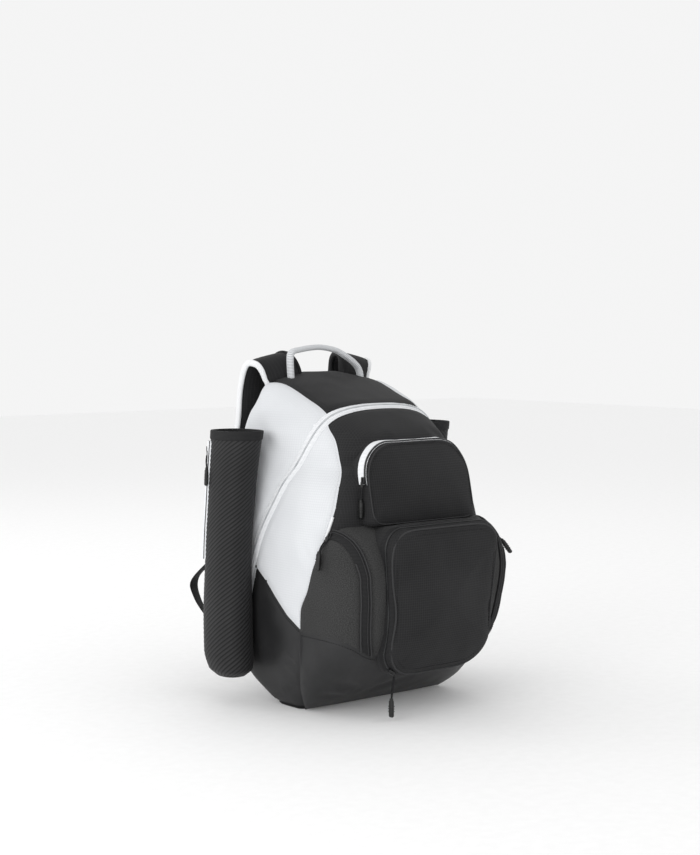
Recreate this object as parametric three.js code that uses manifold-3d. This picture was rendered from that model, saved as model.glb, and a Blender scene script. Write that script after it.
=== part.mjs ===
import * as THREE from 'three';
import { mergeVertices } from 'three/addons/utils/BufferGeometryUtils.js';
import Module from 'manifold-3d';

const wasm = await Module();
wasm.setup();

// A baseball backpack: a hollow sewn shell with pockets on its front and a long open sleeve on each side.
// Millimetres. It stands on z = 0, its front faces -y, its back panel +y, and x = 0 is its middle.

// Driving dimensions of the main shell
const body_height = 483;
const body_half_width = 158;
const body_front = 128;
const body_back = 125;
const back_pad = 13;
const wall = 3;
const seam_gap = 0.3;
const crown_half_width = 91;

// The lower front, which holds the side pockets and overhangs the base
const lower_front_height = 272;
const lower_front_half_width = 160;
const lower_front_reach = 182;
const side_zip_place = 133;

// Big pocket and top pocket
const big_pocket_half_width = 104;
const big_pocket_bottom = 60;
const big_pocket_overtop = 1;
const big_pocket_reach = 203;
const top_pocket_half_width = 99;
const top_pocket_height = 116;
const top_pocket_reach = 157;

// Zips
const main_zip_half_width = 8;
const side_zip_half_width = 8;
const pocket_zip_width = 8;
const zip_groove = 1.4;
const zip_proud = 0.6;

// Sleeves
const sleeve_height = 403;
const sleeve_floor = 42;
const sleeve_out = 187;
const sleeve_back = 75;
const sleeve_half_width = 30;
const sleeve_half_depth = 40;
const sleeve_wall = 2.5;
const hem_height = 12;
const hem_thickness = 1.5;
const sleeve_corner = 2.4;
const sleeve_zip_length = 175;
const sleeve_zip_width = 8;
const sleeve_zip_behind = 28;
const sleeve_zip_drop = 16;

// Carrying parts
const strap_half_width = 33;
const strap_thickness = 14;
const strap_place = 88;
const strap_spread = 20;
const strap_crest = 502;
const strap_stand_off = 65;
const strap_end_height = 222;
const strap_roll = 0.14;
const binding_width = 5;
const binding_proud = 0.8;
const handle_half_span = 68;
const handle_rise = 40;
const handle_width = 22;
const handle_thickness = 8;
const webbing_width = 25;
const webbing_thickness = 2.2;
const webbing_stand_off = 127;
const webbing_seat_height = 66;
const webbing_twist = 0.55;
const lock_width = 36;
const lock_length = 26;
const lock_thickness = 6;
const lock_slot_length = 7.3;
const lock_bar_place = 6.5;
const lock_slot_spare = 1;

// Zip pulls
const slider_length = 12;
const slider_width = 8;
const slider_thickness = 4;
const cord_radius = 1.2;
const grip_radius = 3.4;
const grip_length = 28;

// Fineness of the faceted surfaces
const ring_points = 24;
const pocket_ring_points = 16;
const sleeve_ring_points = 16;
const beyond = 400;
const cut_depth = 40;

const cloth = {
  ripstop_black: { color: 0x333436, roughness: 0.85 },
  ripstop_white: { color: 0xe6e8ea, roughness: 0.8 },
  heather: { color: 0x474747, roughness: 0.95 },
  coated: { color: 0x343536, roughness: 0.5 },
  embossed: { color: 0x2b2c2d, roughness: 0.7 },
  tape_white: { color: 0xe9eaec, roughness: 0.7 },
  tape_black: { color: 0x222324, roughness: 0.75 },
  padding: { color: 0x2d2e30, roughness: 0.9 },
  plastic: { color: 0x161718, roughness: 0.45 },
};

// Sections of the main shell from the floor up. Height, half width, front and back are shares of the
// sizes above, widest is the place of the widest line as a share of body_back, corner is how square the
// outline is, and taper is how much narrower it gets from its widest line to its front.
const BODY_COLUMNS = ['height', 'half_width', 'front', 'back', 'widest', 'corner', 'taper'];
const BODY_LEVELS = [
  [0, 0.84, 0.28, 0.34, -0.1, 5, 0],
  [0.04, 0.89, 0.45, 0.56, 0.1, 5, 0],
  [0.085, 0.93, 0.6, 0.75, 0.26, 6, 0],
  [0.21, 0.98, 0.85, 0.99, 0.44, 8, 0],
  [0.46, 1, 1, 1, 0.44, 8, 0],
  [0.62, 0.98, 1, 1, 0.44, 6.5, 0.07],
  [0.67, 0.968, 0.99, 1, 0.44, 6, 0.12],
  [0.74, 0.943, 0.97, 1, 0.44, 5, 0.29],
  [0.81, 0.918, 0.88, 1, 0.44, 4, 0.31],
  [0.878, 0.865, 0.57, 0.99, 0.48, 2.9, 0.21],
  [0.907, 0.815, 0.4, 0.98, 0.52, 2.4, 0.1],
  [0.932, 0.77, 0.14, 0.96, 0.56, 2.2, 0.04],
  [0.965, 0.665, -0.22, 0.93, 0.64, 2.2, 0],
  [1, 0.19, -0.62, 0.86, 0.74, 2, 0],
];

// Sections of the lower front, in shares of its own height, half width and reach
const LOWER_COLUMNS = ['height', 'half_width', 'front', 'corner'];
const LOWER_LEVELS = [
  [0, 0.83, 0.22, 4],
  [0.07, 0.885, 0.41, 4],
  [0.15, 0.93, 0.58, 3.6],
  [0.25, 0.955, 0.745, 3.7],
  [0.37, 0.975, 0.895, 4.5],
  [0.48, 0.99, 0.955, 5],
  [0.74, 1, 1, 5.5],
  [0.86, 0.985, 0.97, 4.6],
  [0.93, 0.95, 0.91, 4],
  [0.97, 0.9, 0.83, 3.6],
  [1, 0.83, 0.74, 3.2],
];

// The seam between side and front, from the floor to the zip: height share, forward share of body_front
const FRONT_SEAM = [
  [0, 0.3], [0.25, 0.45], [0.31, 0.47], [0.375, 0.6], [0.435, 0.68], [0.51, 0.79], [0.565, 0.82],
  [0.62, 0.835], [0.67, 0.81], [0.74, 0.68], [0.81, 0.545], [0.855, 0.39], [0.878, 0.34],
  [0.907, 0.4], [0.96, 0.5],
];

// The upper edge of the coated foot on the side: height share, forward share of body_front
const FOOT_SEAM = [
  [0.25, 0.45], [0.288, 0.2], [0.335, 0], [0.377, -0.16], [0.416, -0.35], [0.342, -0.44], [0.27, -0.52],
  [0.2, -0.63], [0.16, -0.8],
];

// The upper edge of the coated foot on the front: half-width share, share of lower_front_height
const FRONT_FOOT_SEAM = [[0, 0.315], [0.53, 0.325], [0.66, 0.34], [0.74, 0.36], [0.85, 0.4], [1.1, 0.47]];

// The line of the main zip on the side: height share, forward share of body_front
const MAIN_ZIP_LINE = [
  [0.354, -0.55], [0.532, -0.26], [0.64, -0.03], [0.76, 0.19], [0.84, 0.31], [0.878, 0.35],
  [0.907, 0.4], [0.96, 0.5],
];

// The side pocket's zip, seen from the front: share of side_zip_place, share of lower_front_height
const SIDE_ZIP_LINE = [
  [0.76, 0.27], [0.83, 0.33], [0.9, 0.4], [0.945, 0.48], [0.98, 0.63], [1, 0.72], [1.005, 0.78],
  [1.03, 0.87], [1.065, 0.96], [1.15, 1.02],
];

// Sections of a bat sleeve: height share, then shares of sleeve_out, sleeve_back and its half sizes
const SLEEVE_COLUMNS = ['height', 'out', 'back', 'half_width', 'half_depth'];
const SLEEVE_LEVELS = [
  [0, 0.99, 0.93, 0.6, 0.55],
  [0.03, 0.99, 0.95, 0.9, 0.9],
  [0.1, 1, 0.98, 1, 1],
  [0.25, 1, 1, 0.99, 1],
  [0.5, 1, 0.97, 0.95, 0.93],
  [0.75, 1, 0.85, 0.97, 0.94],
  [1, 0.985, 0.72, 1.05, 1.03],
];

const rows = (columns, table) => table.map((row) => Object.fromEntries(columns.map((c, i) => [c, row[i]])));

// Turns a closed geometry into a solid that can be joined and cut
function solidOf(geometry) {
  const bare = geometry.clone();
  bare.deleteAttribute('normal');
  bare.deleteAttribute('uv');
  const merged = mergeVertices(bare, 1e-4);
  const vertProperties = new Float32Array(merged.attributes.position.array);
  const triVerts = new Uint32Array(merged.index.array);
  return new wasm.Manifold(new wasm.Mesh({ numProp: 3, vertProperties, triVerts }));
}

function geometryOf(solid) {
  const mesh = solid.getMesh();
  const geometry = new THREE.BufferGeometry();
  geometry.setAttribute('position', new THREE.BufferAttribute(new Float32Array(mesh.vertProperties), 3));
  geometry.setIndex(new THREE.BufferAttribute(new Uint32Array(mesh.triVerts), 1));
  return geometry;
}

// A closed skin through rings of equally many points, each ring turning the same way about the path
function loft(rings) {
  const count = rings[0].length;
  const points = rings.flat();
  const index = [];
  for (let r = 0; r + 1 < rings.length; r++) {
    for (let i = 0; i < count; i++) {
      const a = r * count + i;
      const b = r * count + (i + 1) % count;
      index.push(a, b, b + count, a, b + count, a + count);
    }
  }
  for (const [r, turned] of [[0, true], [rings.length - 1, false]]) {
    const middle = new THREE.Vector3();
    rings[r].forEach((p) => middle.addScaledVector(p, 1 / count));
    points.push(middle);
    for (let i = 0; i < count; i++) {
      const a = r * count + i;
      const b = r * count + (i + 1) % count;
      index.push(points.length - 1, turned ? b : a, turned ? a : b);
    }
  }
  const geometry = new THREE.BufferGeometry().setFromPoints(points);
  geometry.setIndex(index);
  return solidOf(geometry);
}

// The same skin closed on itself: the last ring joins the first
function loftRound(rings) {
  const count = rings[0].length;
  const index = [];
  for (let r = 0; r < rings.length; r++) {
    for (let i = 0; i < count; i++) {
      const j = (i + 1) % count;
      const next = ((r + 1) % rings.length) * count;
      index.push(r * count + i, r * count + j, next + j, r * count + i, next + j, next + i);
    }
  }
  const geometry = new THREE.BufferGeometry().setFromPoints(rings.flat());
  geometry.setIndex(index);
  return solidOf(geometry);
}

// A horizontal outline: two square-cornered half ellipses, in front of and behind the line y = middle
function outline({ half_width, front, back, middle, corner, z, x = 0, taper = 0 }, count) {
  const ring = [];
  for (let i = 0; i < count; i++) {
    const angle = (2 * Math.PI * i) / count;
    const c = Math.cos(angle);
    const s = Math.sin(angle);
    const r = (Math.abs(c) ** corner + Math.abs(s) ** corner) ** (-1 / corner);
    const depth = s < 0 ? middle - front : back - middle;
    const width = half_width * (1 - taper * Math.max(0, -r * s));
    ring.push(new THREE.Vector3(x + width * r * c, middle + depth * r * s, z));
  }
  return ring;
}

// The main shell's form, grown by offset or shrunk by a negative one
function bodyForm(offset) {
  return loft(rows(BODY_COLUMNS, BODY_LEVELS).map((level) => outline({
    half_width: level.half_width * body_half_width + offset,
    front: -level.front * body_front - offset,
    back: level.back * body_back + offset,
    middle: level.widest * body_back,
    corner: level.corner,
    taper: level.taper,
    z: level.height * body_height + offset * (2 * level.height - 1),
  }, ring_points)));
}

function alongTable(table, at) {
  const next = table.findIndex((row) => row[0] >= at);
  if (next <= 0) return table[next === 0 ? 0 : table.length - 1][1];
  const [a, b] = [table[next - 1], table[next]];
  return a[1] + ((b[1] - a[1]) * (at - a[0])) / (b[0] - a[0]);
}

function lowerFrontForm(offset) {
  return loft(rows(LOWER_COLUMNS, LOWER_LEVELS).map((level) => {
    const z = level.height * lower_front_height;
    const middle = -alongTable(FRONT_SEAM, z / body_height) * body_front;
    return outline({
      half_width: level.half_width * lower_front_half_width + offset,
      front: -level.front * lower_front_reach - offset,
      back: middle + body_front / 4,
      middle,
      corner: level.corner,
      z: z + offset * (2 * level.height - 1),
    }, ring_points);
  }));
}

// A rounded front-view outline with bottom corners and top corners of their own radius, at depth y
function faceRing({ half_width, bottom, top, bottom_radius, top_radius, y }, count) {
  const corners = [
    [half_width - bottom_radius, bottom + bottom_radius, bottom_radius, -Math.PI / 2],
    [half_width - top_radius, top - top_radius, top_radius, 0],
    [-half_width + top_radius, top - top_radius, top_radius, Math.PI / 2],
    [-half_width + bottom_radius, bottom + bottom_radius, bottom_radius, Math.PI],
  ];
  const steps = count / 4 - 1;
  return corners.flatMap(([x, z, radius, start]) => Array.from({ length: steps + 1 }, (_, i) => {
    const angle = start + (i / steps) * (Math.PI / 2);
    return new THREE.Vector3(x + radius * Math.cos(angle), y, z + radius * Math.sin(angle));
  }));
}

// A pocket: its outline is carried forward from inside the body, and its face is a shallow dome.
// Rows: depth as a share of the pocket's reach, then how far the outline has drawn in there as a share
// of the pocket's height
const POCKET_PROFILE = [[0.3, 0], [0.9, 0], [0.945, 0.01], [0.965, 0.03], [0.985, 0.12], [1, 0.3]];

// One outline of a pocket, drawn in by inset, at depth y. The face leans back by lean_foot below the middle
// of the pocket and by lean_top towards its top, and narrow_foot makes it narrower towards its bottom.
function pocketRing(form, inset, offset, y) {
  const { bottom, height } = form;
  return faceRing({
    half_width: form.half_width - inset + offset,
    bottom: bottom + inset - offset,
    top: bottom + height - inset + offset,
    bottom_radius: Math.max(form.bottom_radius - inset / 2, 6) + offset,
    top_radius: Math.max(form.top_radius - inset / 2, 6) + offset,
    y,
  }, pocket_ring_points).map((p) => {
    const up = (p.z - bottom) / height;
    const foot = Math.max(0, 1 - 2 * up) ** 2;
    const lean = form.lean_foot * foot + form.lean_top * Math.max(0, up);
    return new THREE.Vector3(p.x * (1 - form.narrow_foot * foot), p.y + lean, p.z);
  });
}

function pocketForm(form, offset) {
  return loft(POCKET_PROFILE.map(([share, inset], i) => (
    pocketRing(form, inset * form.height, offset, -share * form.reach - (i > 1 ? offset : 0)))));
}

// The frame between two depths that holds a pocket's zip
function pocketBand(form, y_front, y_back) {
  const spread = pocket_zip_width;
  return loftRound([
    pocketRing(form, 0, spread, y_back), pocketRing(form, 0, spread, y_front),
    pocketRing(form, spread, 0, y_front), pocketRing(form, spread, 0, y_back),
  ]);
}

// Prisms that part one piece from the next
function prismAcross(points, from = -beyond, to = beyond) {
  const shape = new THREE.Shape(points.map(([y, z]) => new THREE.Vector2(y, z)));
  const geometry = new THREE.ExtrudeGeometry(shape, { depth: to - from, bevelEnabled: false });
  geometry.applyMatrix4(new THREE.Matrix4().makeBasis(
    new THREE.Vector3(0, 1, 0), new THREE.Vector3(0, 0, 1), new THREE.Vector3(1, 0, 0)));
  geometry.translate(from, 0, 0);
  return solidOf(geometry);
}

function prismThrough(points, front = -beyond, back = beyond) {
  const shape = new THREE.Shape(points.map(([x, z]) => new THREE.Vector2(x, z)));
  const geometry = new THREE.ExtrudeGeometry(shape, { depth: back - front, bevelEnabled: false });
  geometry.rotateX(Math.PI / 2);
  geometry.translate(0, back, 0);
  return solidOf(geometry);
}

function block(x0, x1, y0, y1, z0, z1) {
  const geometry = new THREE.BoxGeometry(x1 - x0, y1 - y0, z1 - z0);
  geometry.translate((x0 + x1) / 2, (y0 + y1) / 2, (z0 + z1) / 2);
  return solidOf(geometry);
}

// The outline of a ribbon of even width along a smooth line
function ribbon(points, half_width, steps) {
  const curve = new THREE.SplineCurve(points.map(([u, v]) => new THREE.Vector2(u, v)));
  const sides = [[], []];
  for (let i = 0; i <= steps; i++) {
    const p = curve.getPoint(i / steps);
    const t = curve.getTangent(i / steps);
    sides[0].push([p.x - t.y * half_width, p.y + t.x * half_width]);
    sides[1].push([p.x + t.y * half_width, p.y - t.x * half_width]);
  }
  return [...sides[1], ...sides[0].reverse()];
}

const sideView = (table) => table.map(([height, forward]) => [-forward * body_front, height * body_height]);
const shifted = (points, du, dv) => points.map(([u, v]) => [u + du, v + dv]);

// Regions of the shell
const body = bodyForm(0);
const body_clear = bodyForm(seam_gap);
const body_shell = body.subtract(bodyForm(-wall));
const seam_points = sideView(FRONT_SEAM);
const above_crown = body_height + 2 * wall;
const front_region = (shift) => prismAcross([
  [-beyond, -beyond], [seam_points[0][0] + shift, -beyond], ...shifted(seam_points, shift, 0),
  [seam_points.at(-1)[0] + shift, above_crown], [-beyond, above_crown],
]);
const foot_points = sideView(FOOT_SEAM);
const foot_region = (shift) => prismAcross([
  [-beyond, -beyond], [beyond, -beyond], [beyond, foot_points.at(-1)[1] + shift],
  ...shifted(foot_points, 0, shift).reverse(), [-beyond, foot_points[0][1] + shift],
]);
const in_front = front_region(-seam_gap);
const not_behind = front_region(0);
const pad_start = body_back - back_pad;
const floor_top = wall + seam_gap;
const before_pad = block(-beyond, beyond, -beyond, pad_start - seam_gap, floor_top, 2 * beyond);
const main_zip_points = ribbon(sideView(MAIN_ZIP_LINE), main_zip_half_width, 12);
const zip_path = prismAcross(main_zip_points);
const zip_slot = zip_path.intersect(bodyForm(cut_depth).subtract(bodyForm(-zip_groove)));
const walls = body_shell.intersect(before_pad).subtract(zip_slot);
const crown_block = (half_width) => block(
  -half_width, half_width, -beyond, beyond, body_height / 2, 2 * beyond);

const pieces = {};
pieces.base_panel = body_shell.intersect(
  block(-beyond, beyond, -beyond, pad_start - seam_gap, -beyond, wall));
pieces.back_panel = body.intersect(block(-beyond, beyond, pad_start, beyond, 0, 2 * beyond));
pieces.front_panel = walls.intersect(in_front);
const behind_seam = walls.subtract(not_behind);
pieces.top_panel = behind_seam.intersect(crown_block(crown_half_width));
const side_walls = behind_seam.subtract(crown_block(crown_half_width + seam_gap));
const halves = { left: block(-2 * beyond, -1, -beyond, beyond, -beyond, 2 * beyond),
  right: block(1, 2 * beyond, -beyond, beyond, -beyond, 2 * beyond) };
for (const side of ['left', 'right']) {
  pieces[`base_side_${side}`] = side_walls.intersect(foot_region(0)).intersect(halves[side]);
  pieces[`side_panel_${side}`] = side_walls.subtract(foot_region(seam_gap)).intersect(halves[side]);
}

// The main zip lies in its groove, from one low end over the crown to the other
pieces.main_zip = bodyForm(zip_proud).subtract(bodyForm(seam_gap - zip_groove))
  .intersect(prismAcross(ribbon(sideView(MAIN_ZIP_LINE), main_zip_half_width - seam_gap, 12)));

// Lower front: coated foot, side pockets, their zips and the cloth round the big pocket
const lower_front = lowerFrontForm(0);
const lower_clear = lowerFrontForm(seam_gap);
const lower_walls = lower_front.subtract(lowerFrontForm(-wall)).subtract(body_clear).intersect(in_front);
const foot_line = FRONT_FOOT_SEAM.map(([x, z]) => [x * lower_front_half_width, z * lower_front_height]);
const foot_curve = [...foot_line.map(([x, z]) => [-x, z]).reverse(), ...foot_line.slice(1)];
const front_foot = (shift) => prismThrough([
  [foot_curve[0][0], -beyond], [foot_curve.at(-1)[0], -beyond], ...shifted(foot_curve, 0, shift).reverse(),
]);
pieces.base_front = lower_walls.intersect(front_foot(0));
const side_zip_line = SIDE_ZIP_LINE.map(([x, z]) => [x * side_zip_place, z * lower_front_height]);
const side_zip_right = (half_width) => prismThrough(ribbon(side_zip_line, half_width, 8));
const mirrored = (points) => points.map(([x, z]) => [-x, z]).reverse();
const side_zip_left = (half_width) => prismThrough(mirrored(ribbon(side_zip_line, half_width, 8)));
const side_slots = side_zip_right(side_zip_half_width).add(side_zip_left(side_zip_half_width))
  .intersect(lowerFrontForm(cut_depth).subtract(lowerFrontForm(-zip_groove)));
const above_foot = lower_walls.subtract(front_foot(seam_gap)).subtract(side_slots);
const outer_region = (shift) => prismThrough([
  [side_zip_line[0][0] + shift, -beyond], [beyond, -beyond], [beyond, 2 * beyond],
  ...shifted(side_zip_line, shift, 0).reverse(),
]);
const outboard = { right: outer_region(seam_gap), left: outer_region(seam_gap).mirror([1, 0, 0]) };
const outboard_all = outer_region(0).add(outer_region(0).mirror([1, 0, 0]));
pieces.pocket_surround = above_foot.subtract(outboard_all);
for (const [side, zip] of [['left', side_zip_left], ['right', side_zip_right]]) {
  pieces[`side_pocket_${side}`] = above_foot.intersect(outboard[side]);
  pieces[`side_pocket_zip_${side}`] = lowerFrontForm(zip_proud)
    .subtract(lowerFrontForm(seam_gap - zip_groove)).intersect(zip(side_zip_half_width - seam_gap))
    .subtract(body_clear).intersect(in_front).subtract(front_foot(seam_gap));
}

// Big pocket and top pocket
const big_pocket = {
  half_width: big_pocket_half_width, bottom: big_pocket_bottom,
  height: lower_front_height + big_pocket_overtop - big_pocket_bottom,
  reach: big_pocket_reach, bottom_radius: 40, top_radius: 30, lean_foot: 28, lean_top: 0, narrow_foot: 0.18,
};
const top_pocket = {
  half_width: top_pocket_half_width, bottom: big_pocket.bottom + big_pocket.height + 2 * seam_gap,
  height: top_pocket_height, reach: top_pocket_reach, bottom_radius: 8, top_radius: 50,
  lean_foot: 0, lean_top: 24, narrow_foot: 0,
};
const carried = body_clear.add(lower_clear);
function pocket(form, zip_low, under) {
  const y_front = -form.reach * POCKET_PROFILE[2][0];
  const band = (grow) => pocketBand(form, y_front + grow, y_front + pocket_zip_width - grow)
    .intersect(block(-beyond, beyond, -beyond, beyond, zip_low + grow, 2 * beyond));
  const zip = band(seam_gap).intersect(pocketForm(form, zip_proud))
    .subtract(pocketForm(form, seam_gap - zip_groove)).subtract(under);
  const slot = band(0).subtract(pocketForm(form, -zip_groove));
  const shell = pocketForm(form, 0).subtract(pocketForm(form, -wall)).subtract(under).subtract(slot);
  return [shell, zip];
}
const big_zip_low = big_pocket_bottom + pocket_zip_width;
[pieces.big_pocket, pieces.big_pocket_zip] = pocket(big_pocket, big_zip_low, carried);
const under_top = carried.add(pocketForm(big_pocket, zip_proud + seam_gap));
const top_zip_low = top_pocket.bottom + top_pocket_height / 2;
[pieces.top_pocket, pieces.top_pocket_zip] = pocket(top_pocket, top_zip_low, under_top);

// Bat sleeves: open at the top, closed at the foot, seated on the side of the bag
const sleeve_levels = rows(SLEEVE_COLUMNS, SLEEVE_LEVELS);

function sleeveSection(z) {
  const share = (z - sleeve_floor) / (sleeve_height - sleeve_floor);
  const at = (column) => alongTable(sleeve_levels.map((level) => [level.height, level[column]]), share);
  return { x: at('out') * sleeve_out, y: at('back') * sleeve_back,
    half_width: at('half_width') * sleeve_half_width, half_depth: at('half_depth') * sleeve_half_depth };
}

function sleeveForm(side, offset, from, to) {
  const heights = sleeve_levels.map((level) => sleeve_floor + level.height * (sleeve_height - sleeve_floor));
  return loft([from, ...heights.filter((z) => z > from + 1 && z < to - 1), to].map((z) => {
    const { x, y, half_width, half_depth } = sleeveSection(z);
    return outline({
      half_width: half_width + offset,
      front: y - half_depth - offset,
      back: y + half_depth + offset,
      middle: y,
      corner: sleeve_corner,
      z,
      x: side * x,
    }, sleeve_ring_points);
  }));
}
const sleeve_zip_top = sleeve_height - sleeve_zip_drop;
const round_body = bodyForm(seam_gap + zip_proud);
for (const [side, name] of [[-1, 'left'], [1, 'right']]) {
  const hem_start = sleeve_height - hem_height;
  const outside = sleeveForm(side, 0, sleeve_floor, sleeve_height)
    .add(sleeveForm(side, hem_thickness, hem_start, sleeve_height));
  const hollow = sleeveForm(side, -sleeve_wall, sleeve_floor + sleeve_wall, sleeve_height + wall);
  const sleeve_sides = [[-beyond, -sleeve_out], [sleeve_out, beyond]][side < 0 ? 0 : 1];
  const strip = (grow) => {
    const ends = [sleeve_zip_top - sleeve_zip_length + grow, sleeve_zip_top - grow];
    const edge = (z, over) => [sleeveSection(z).y + sleeve_zip_behind + over, z];
    const half = sleeve_zip_width / 2 - grow;
    return prismAcross([edge(ends[0], -half), edge(ends[0], half), edge(ends[1], half), edge(ends[1], -half)],
      ...sleeve_sides);
  };
  const slot = strip(0).subtract(sleeveForm(side, -zip_groove, sleeve_floor, sleeve_height));
  pieces[`sleeve_${name}`] = outside.subtract(hollow).subtract(round_body).subtract(slot);
  pieces[`sleeve_zip_${name}`] = strip(seam_gap)
    .intersect(sleeveForm(side, zip_proud, sleeve_floor, sleeve_height))
    .subtract(sleeveForm(side, seam_gap - zip_groove, sleeve_floor, sleeve_height));
}

// A strap, cord or band: sections across a smooth path. A section is wide along the path's own sideways
// direction, which roll turns about the path, and thick across it.
function sweep(curve, steps, section, count, crowding = 1) {
  const rings = [];
  for (let i = 0; i <= steps; i++) {
    const u = (i / steps) ** crowding;
    const along = curve.getTangentAt(u);
    const { half_width, half_depth, corner = 2, roll = 0, sideways = [1, 0, 0] } = section(u);
    const across = new THREE.Vector3(...sideways);
    across.addScaledVector(along, -across.dot(along)).normalize().applyAxisAngle(along, roll);
    const outward = new THREE.Vector3().crossVectors(along, across);
    const centre = curve.getPointAt(u);
    const ring = [];
    for (let k = 0; k < count; k++) {
      const angle = (2 * Math.PI * k) / count;
      const [c, s] = [Math.cos(angle), Math.sin(angle)];
      const r = (Math.abs(c) ** corner + Math.abs(s) ** corner) ** (-1 / corner);
      ring.push(centre.clone().addScaledVector(across, half_width * r * c)
        .addScaledVector(outward, half_depth * r * s));
    }
    rings.push(ring);
  }
  return loft(rings);
}

const smooth = (points) => new THREE.CatmullRomCurve3(
  points.map((p) => new THREE.Vector3(...p)), false, 'centripetal');

// Centre line of a shoulder strap. Columns: sideways in shares of strap_spread beyond strap_place, back in
// shares of body_back, stand off in shares of strap_stand_off, height from strap_end_height to strap_crest.
const STRAP_LINE = [
  [-1.1, 0.76, 0, 0.83], [-1, 0.77, 0, 0.92], [-0.65, 0.82, 0, 0.98], [-0.3, 0.92, 0, 1],
  [-0.05, 1.015, 0, 0.955], [0, 1.03, 0.1, 0.82],
  [0.15, 1, 0.22, 0.62], [0.5, 1, 0.48, 0.38], [0.85, 1, 0.8, 0.15], [1, 1, 1, 0],
];
const strapCurve = (side) => smooth(STRAP_LINE.map(([out, back, off, up]) => [
  side * (strap_place + out * strap_spread),
  back * body_back + off * strap_stand_off,
  strap_end_height + up * (strap_crest - strap_end_height),
]));
const strapPart = (side, half_width, half_depth) => sweep(strapCurve(side), 15, (t) => ({
  half_width: half_width * Math.min(1, 0.55 + 5.6 * t),
  half_depth,
  corner: 4,
  roll: side * strap_roll * Math.max(0, 1 - 3.1 * t),
}), 8, 1.5);

// Webbing from the ladder lock round to the foot of the back panel, as shares like the strap's:
// sideways, back, stand off of webbing_stand_off, height between its seat and the lock
const WEBBING_LINE = [
  [0.93, 1, 0.8, 0.75], [1.75, 1, 0.96, 0.6], [1.9, 1, 0.9, 0.4], [1.75, 1, 0.62, 0.2],
  [1.45, 1, 0.25, 0.06], [1.35, 1, 0, 0],
];
for (const [side, name] of [[-1, 'left'], [1, 'right']]) {
  const core = strap_half_width - binding_width;
  const curve = strapCurve(side);
  const above = (shift) => block(
    -beyond, beyond, 0, beyond, strap_end_height + binding_width + shift, 2 * beyond);
  const binding = strapPart(side, strap_half_width, strap_thickness / 2 + binding_proud)
    .subtract(strapPart(side, core, strap_thickness / 2 + 2 * binding_proud).intersect(above(0)));
  pieces[`strap_binding_${name}`] = binding.subtract(body_clear);
  pieces[`shoulder_strap_${name}`] = strapPart(side, core - seam_gap, strap_thickness / 2)
    .intersect(above(seam_gap)).subtract(binding).subtract(body_clear);
  const tip = curve.getPoint(1);
  const down = curve.getTangent(1);
  const lock_middle = tip.clone().addScaledVector(down, lock_length / 2 + seam_gap);
  const across = new THREE.Vector3(1, 0, 0).addScaledVector(down, -down.x).normalize();
  const outward = new THREE.Vector3().crossVectors(across, down);
  const frame = new THREE.Shape([[-1, -1], [1, -1], [1, 1], [-1, 1]].map(([u, v]) => (
    new THREE.Vector2((u * lock_width) / 2, (v * lock_length) / 2))));
  for (const middle of [-lock_bar_place, lock_bar_place]) {
    frame.holes.push(new THREE.Path([[-1, -1], [-1, 1], [1, 1], [1, -1]].map(([u, v]) => (
      new THREE.Vector2(u * (webbing_width / 2 + lock_slot_spare), middle + (v * lock_slot_length) / 2)))));
  }
  const lock = new THREE.ExtrudeGeometry(frame, { depth: lock_thickness, bevelEnabled: false });
  lock.translate(0, 0, -lock_thickness / 2);
  lock.applyMatrix4(new THREE.Matrix4().makeBasis(across, down, outward).setPosition(lock_middle));
  pieces[`ladder_lock_${name}`] = solidOf(lock);
  const lock_end = tip.clone().addScaledVector(down, lock_length + webbing_thickness);
  const path = WEBBING_LINE.map(([out, back, off, up]) => [
    side * (strap_place + out * strap_spread),
    back * body_back + off * webbing_stand_off + webbing_thickness / 2 + seam_gap,
    webbing_seat_height + up * (strap_end_height - webbing_seat_height),
  ]);
  path[0] = lock_end.toArray();
  pieces[`webbing_${name}`] = sweep(smooth(path), 14, (t) => ({
    half_width: webbing_width / 2,
    half_depth: webbing_thickness / 2,
    corner: 6,
    roll: side * webbing_twist * Math.sin(Math.PI * t),
  }), 6).subtract(body_clear).subtract(pieces[`ladder_lock_${name}`]);
}

// Grab handle: an arch that leans a little to one side. Columns: sideways in shares of handle_half_span,
// back in shares of body_back, height in shares of handle_rise above the crown
const HANDLE_LINE = [
  [-0.99, 0.6, -0.5], [-1, 0.62, 0.45], [-0.93, 0.64, 0.76], [-0.7, 0.66, 0.86], [-0.1, 0.7, 0.95],
  [0.35, 0.68, 0.84], [0.62, 0.64, 0.6], [0.85, 0.61, 0.3], [0.97, 0.6, 0], [0.98, 0.58, -0.5],
];
const handle_curve = smooth(HANDLE_LINE.map(([out, back, up]) => [
  out * handle_half_span, back * body_back, body_height + up * handle_rise]));
pieces.grab_handle = sweep(handle_curve, 18, () => ({
  half_width: handle_width / 2, half_depth: handle_thickness / 2, corner: 4, sideways: [0, 1, 0],
}), 8).subtract(body_clear);

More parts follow.
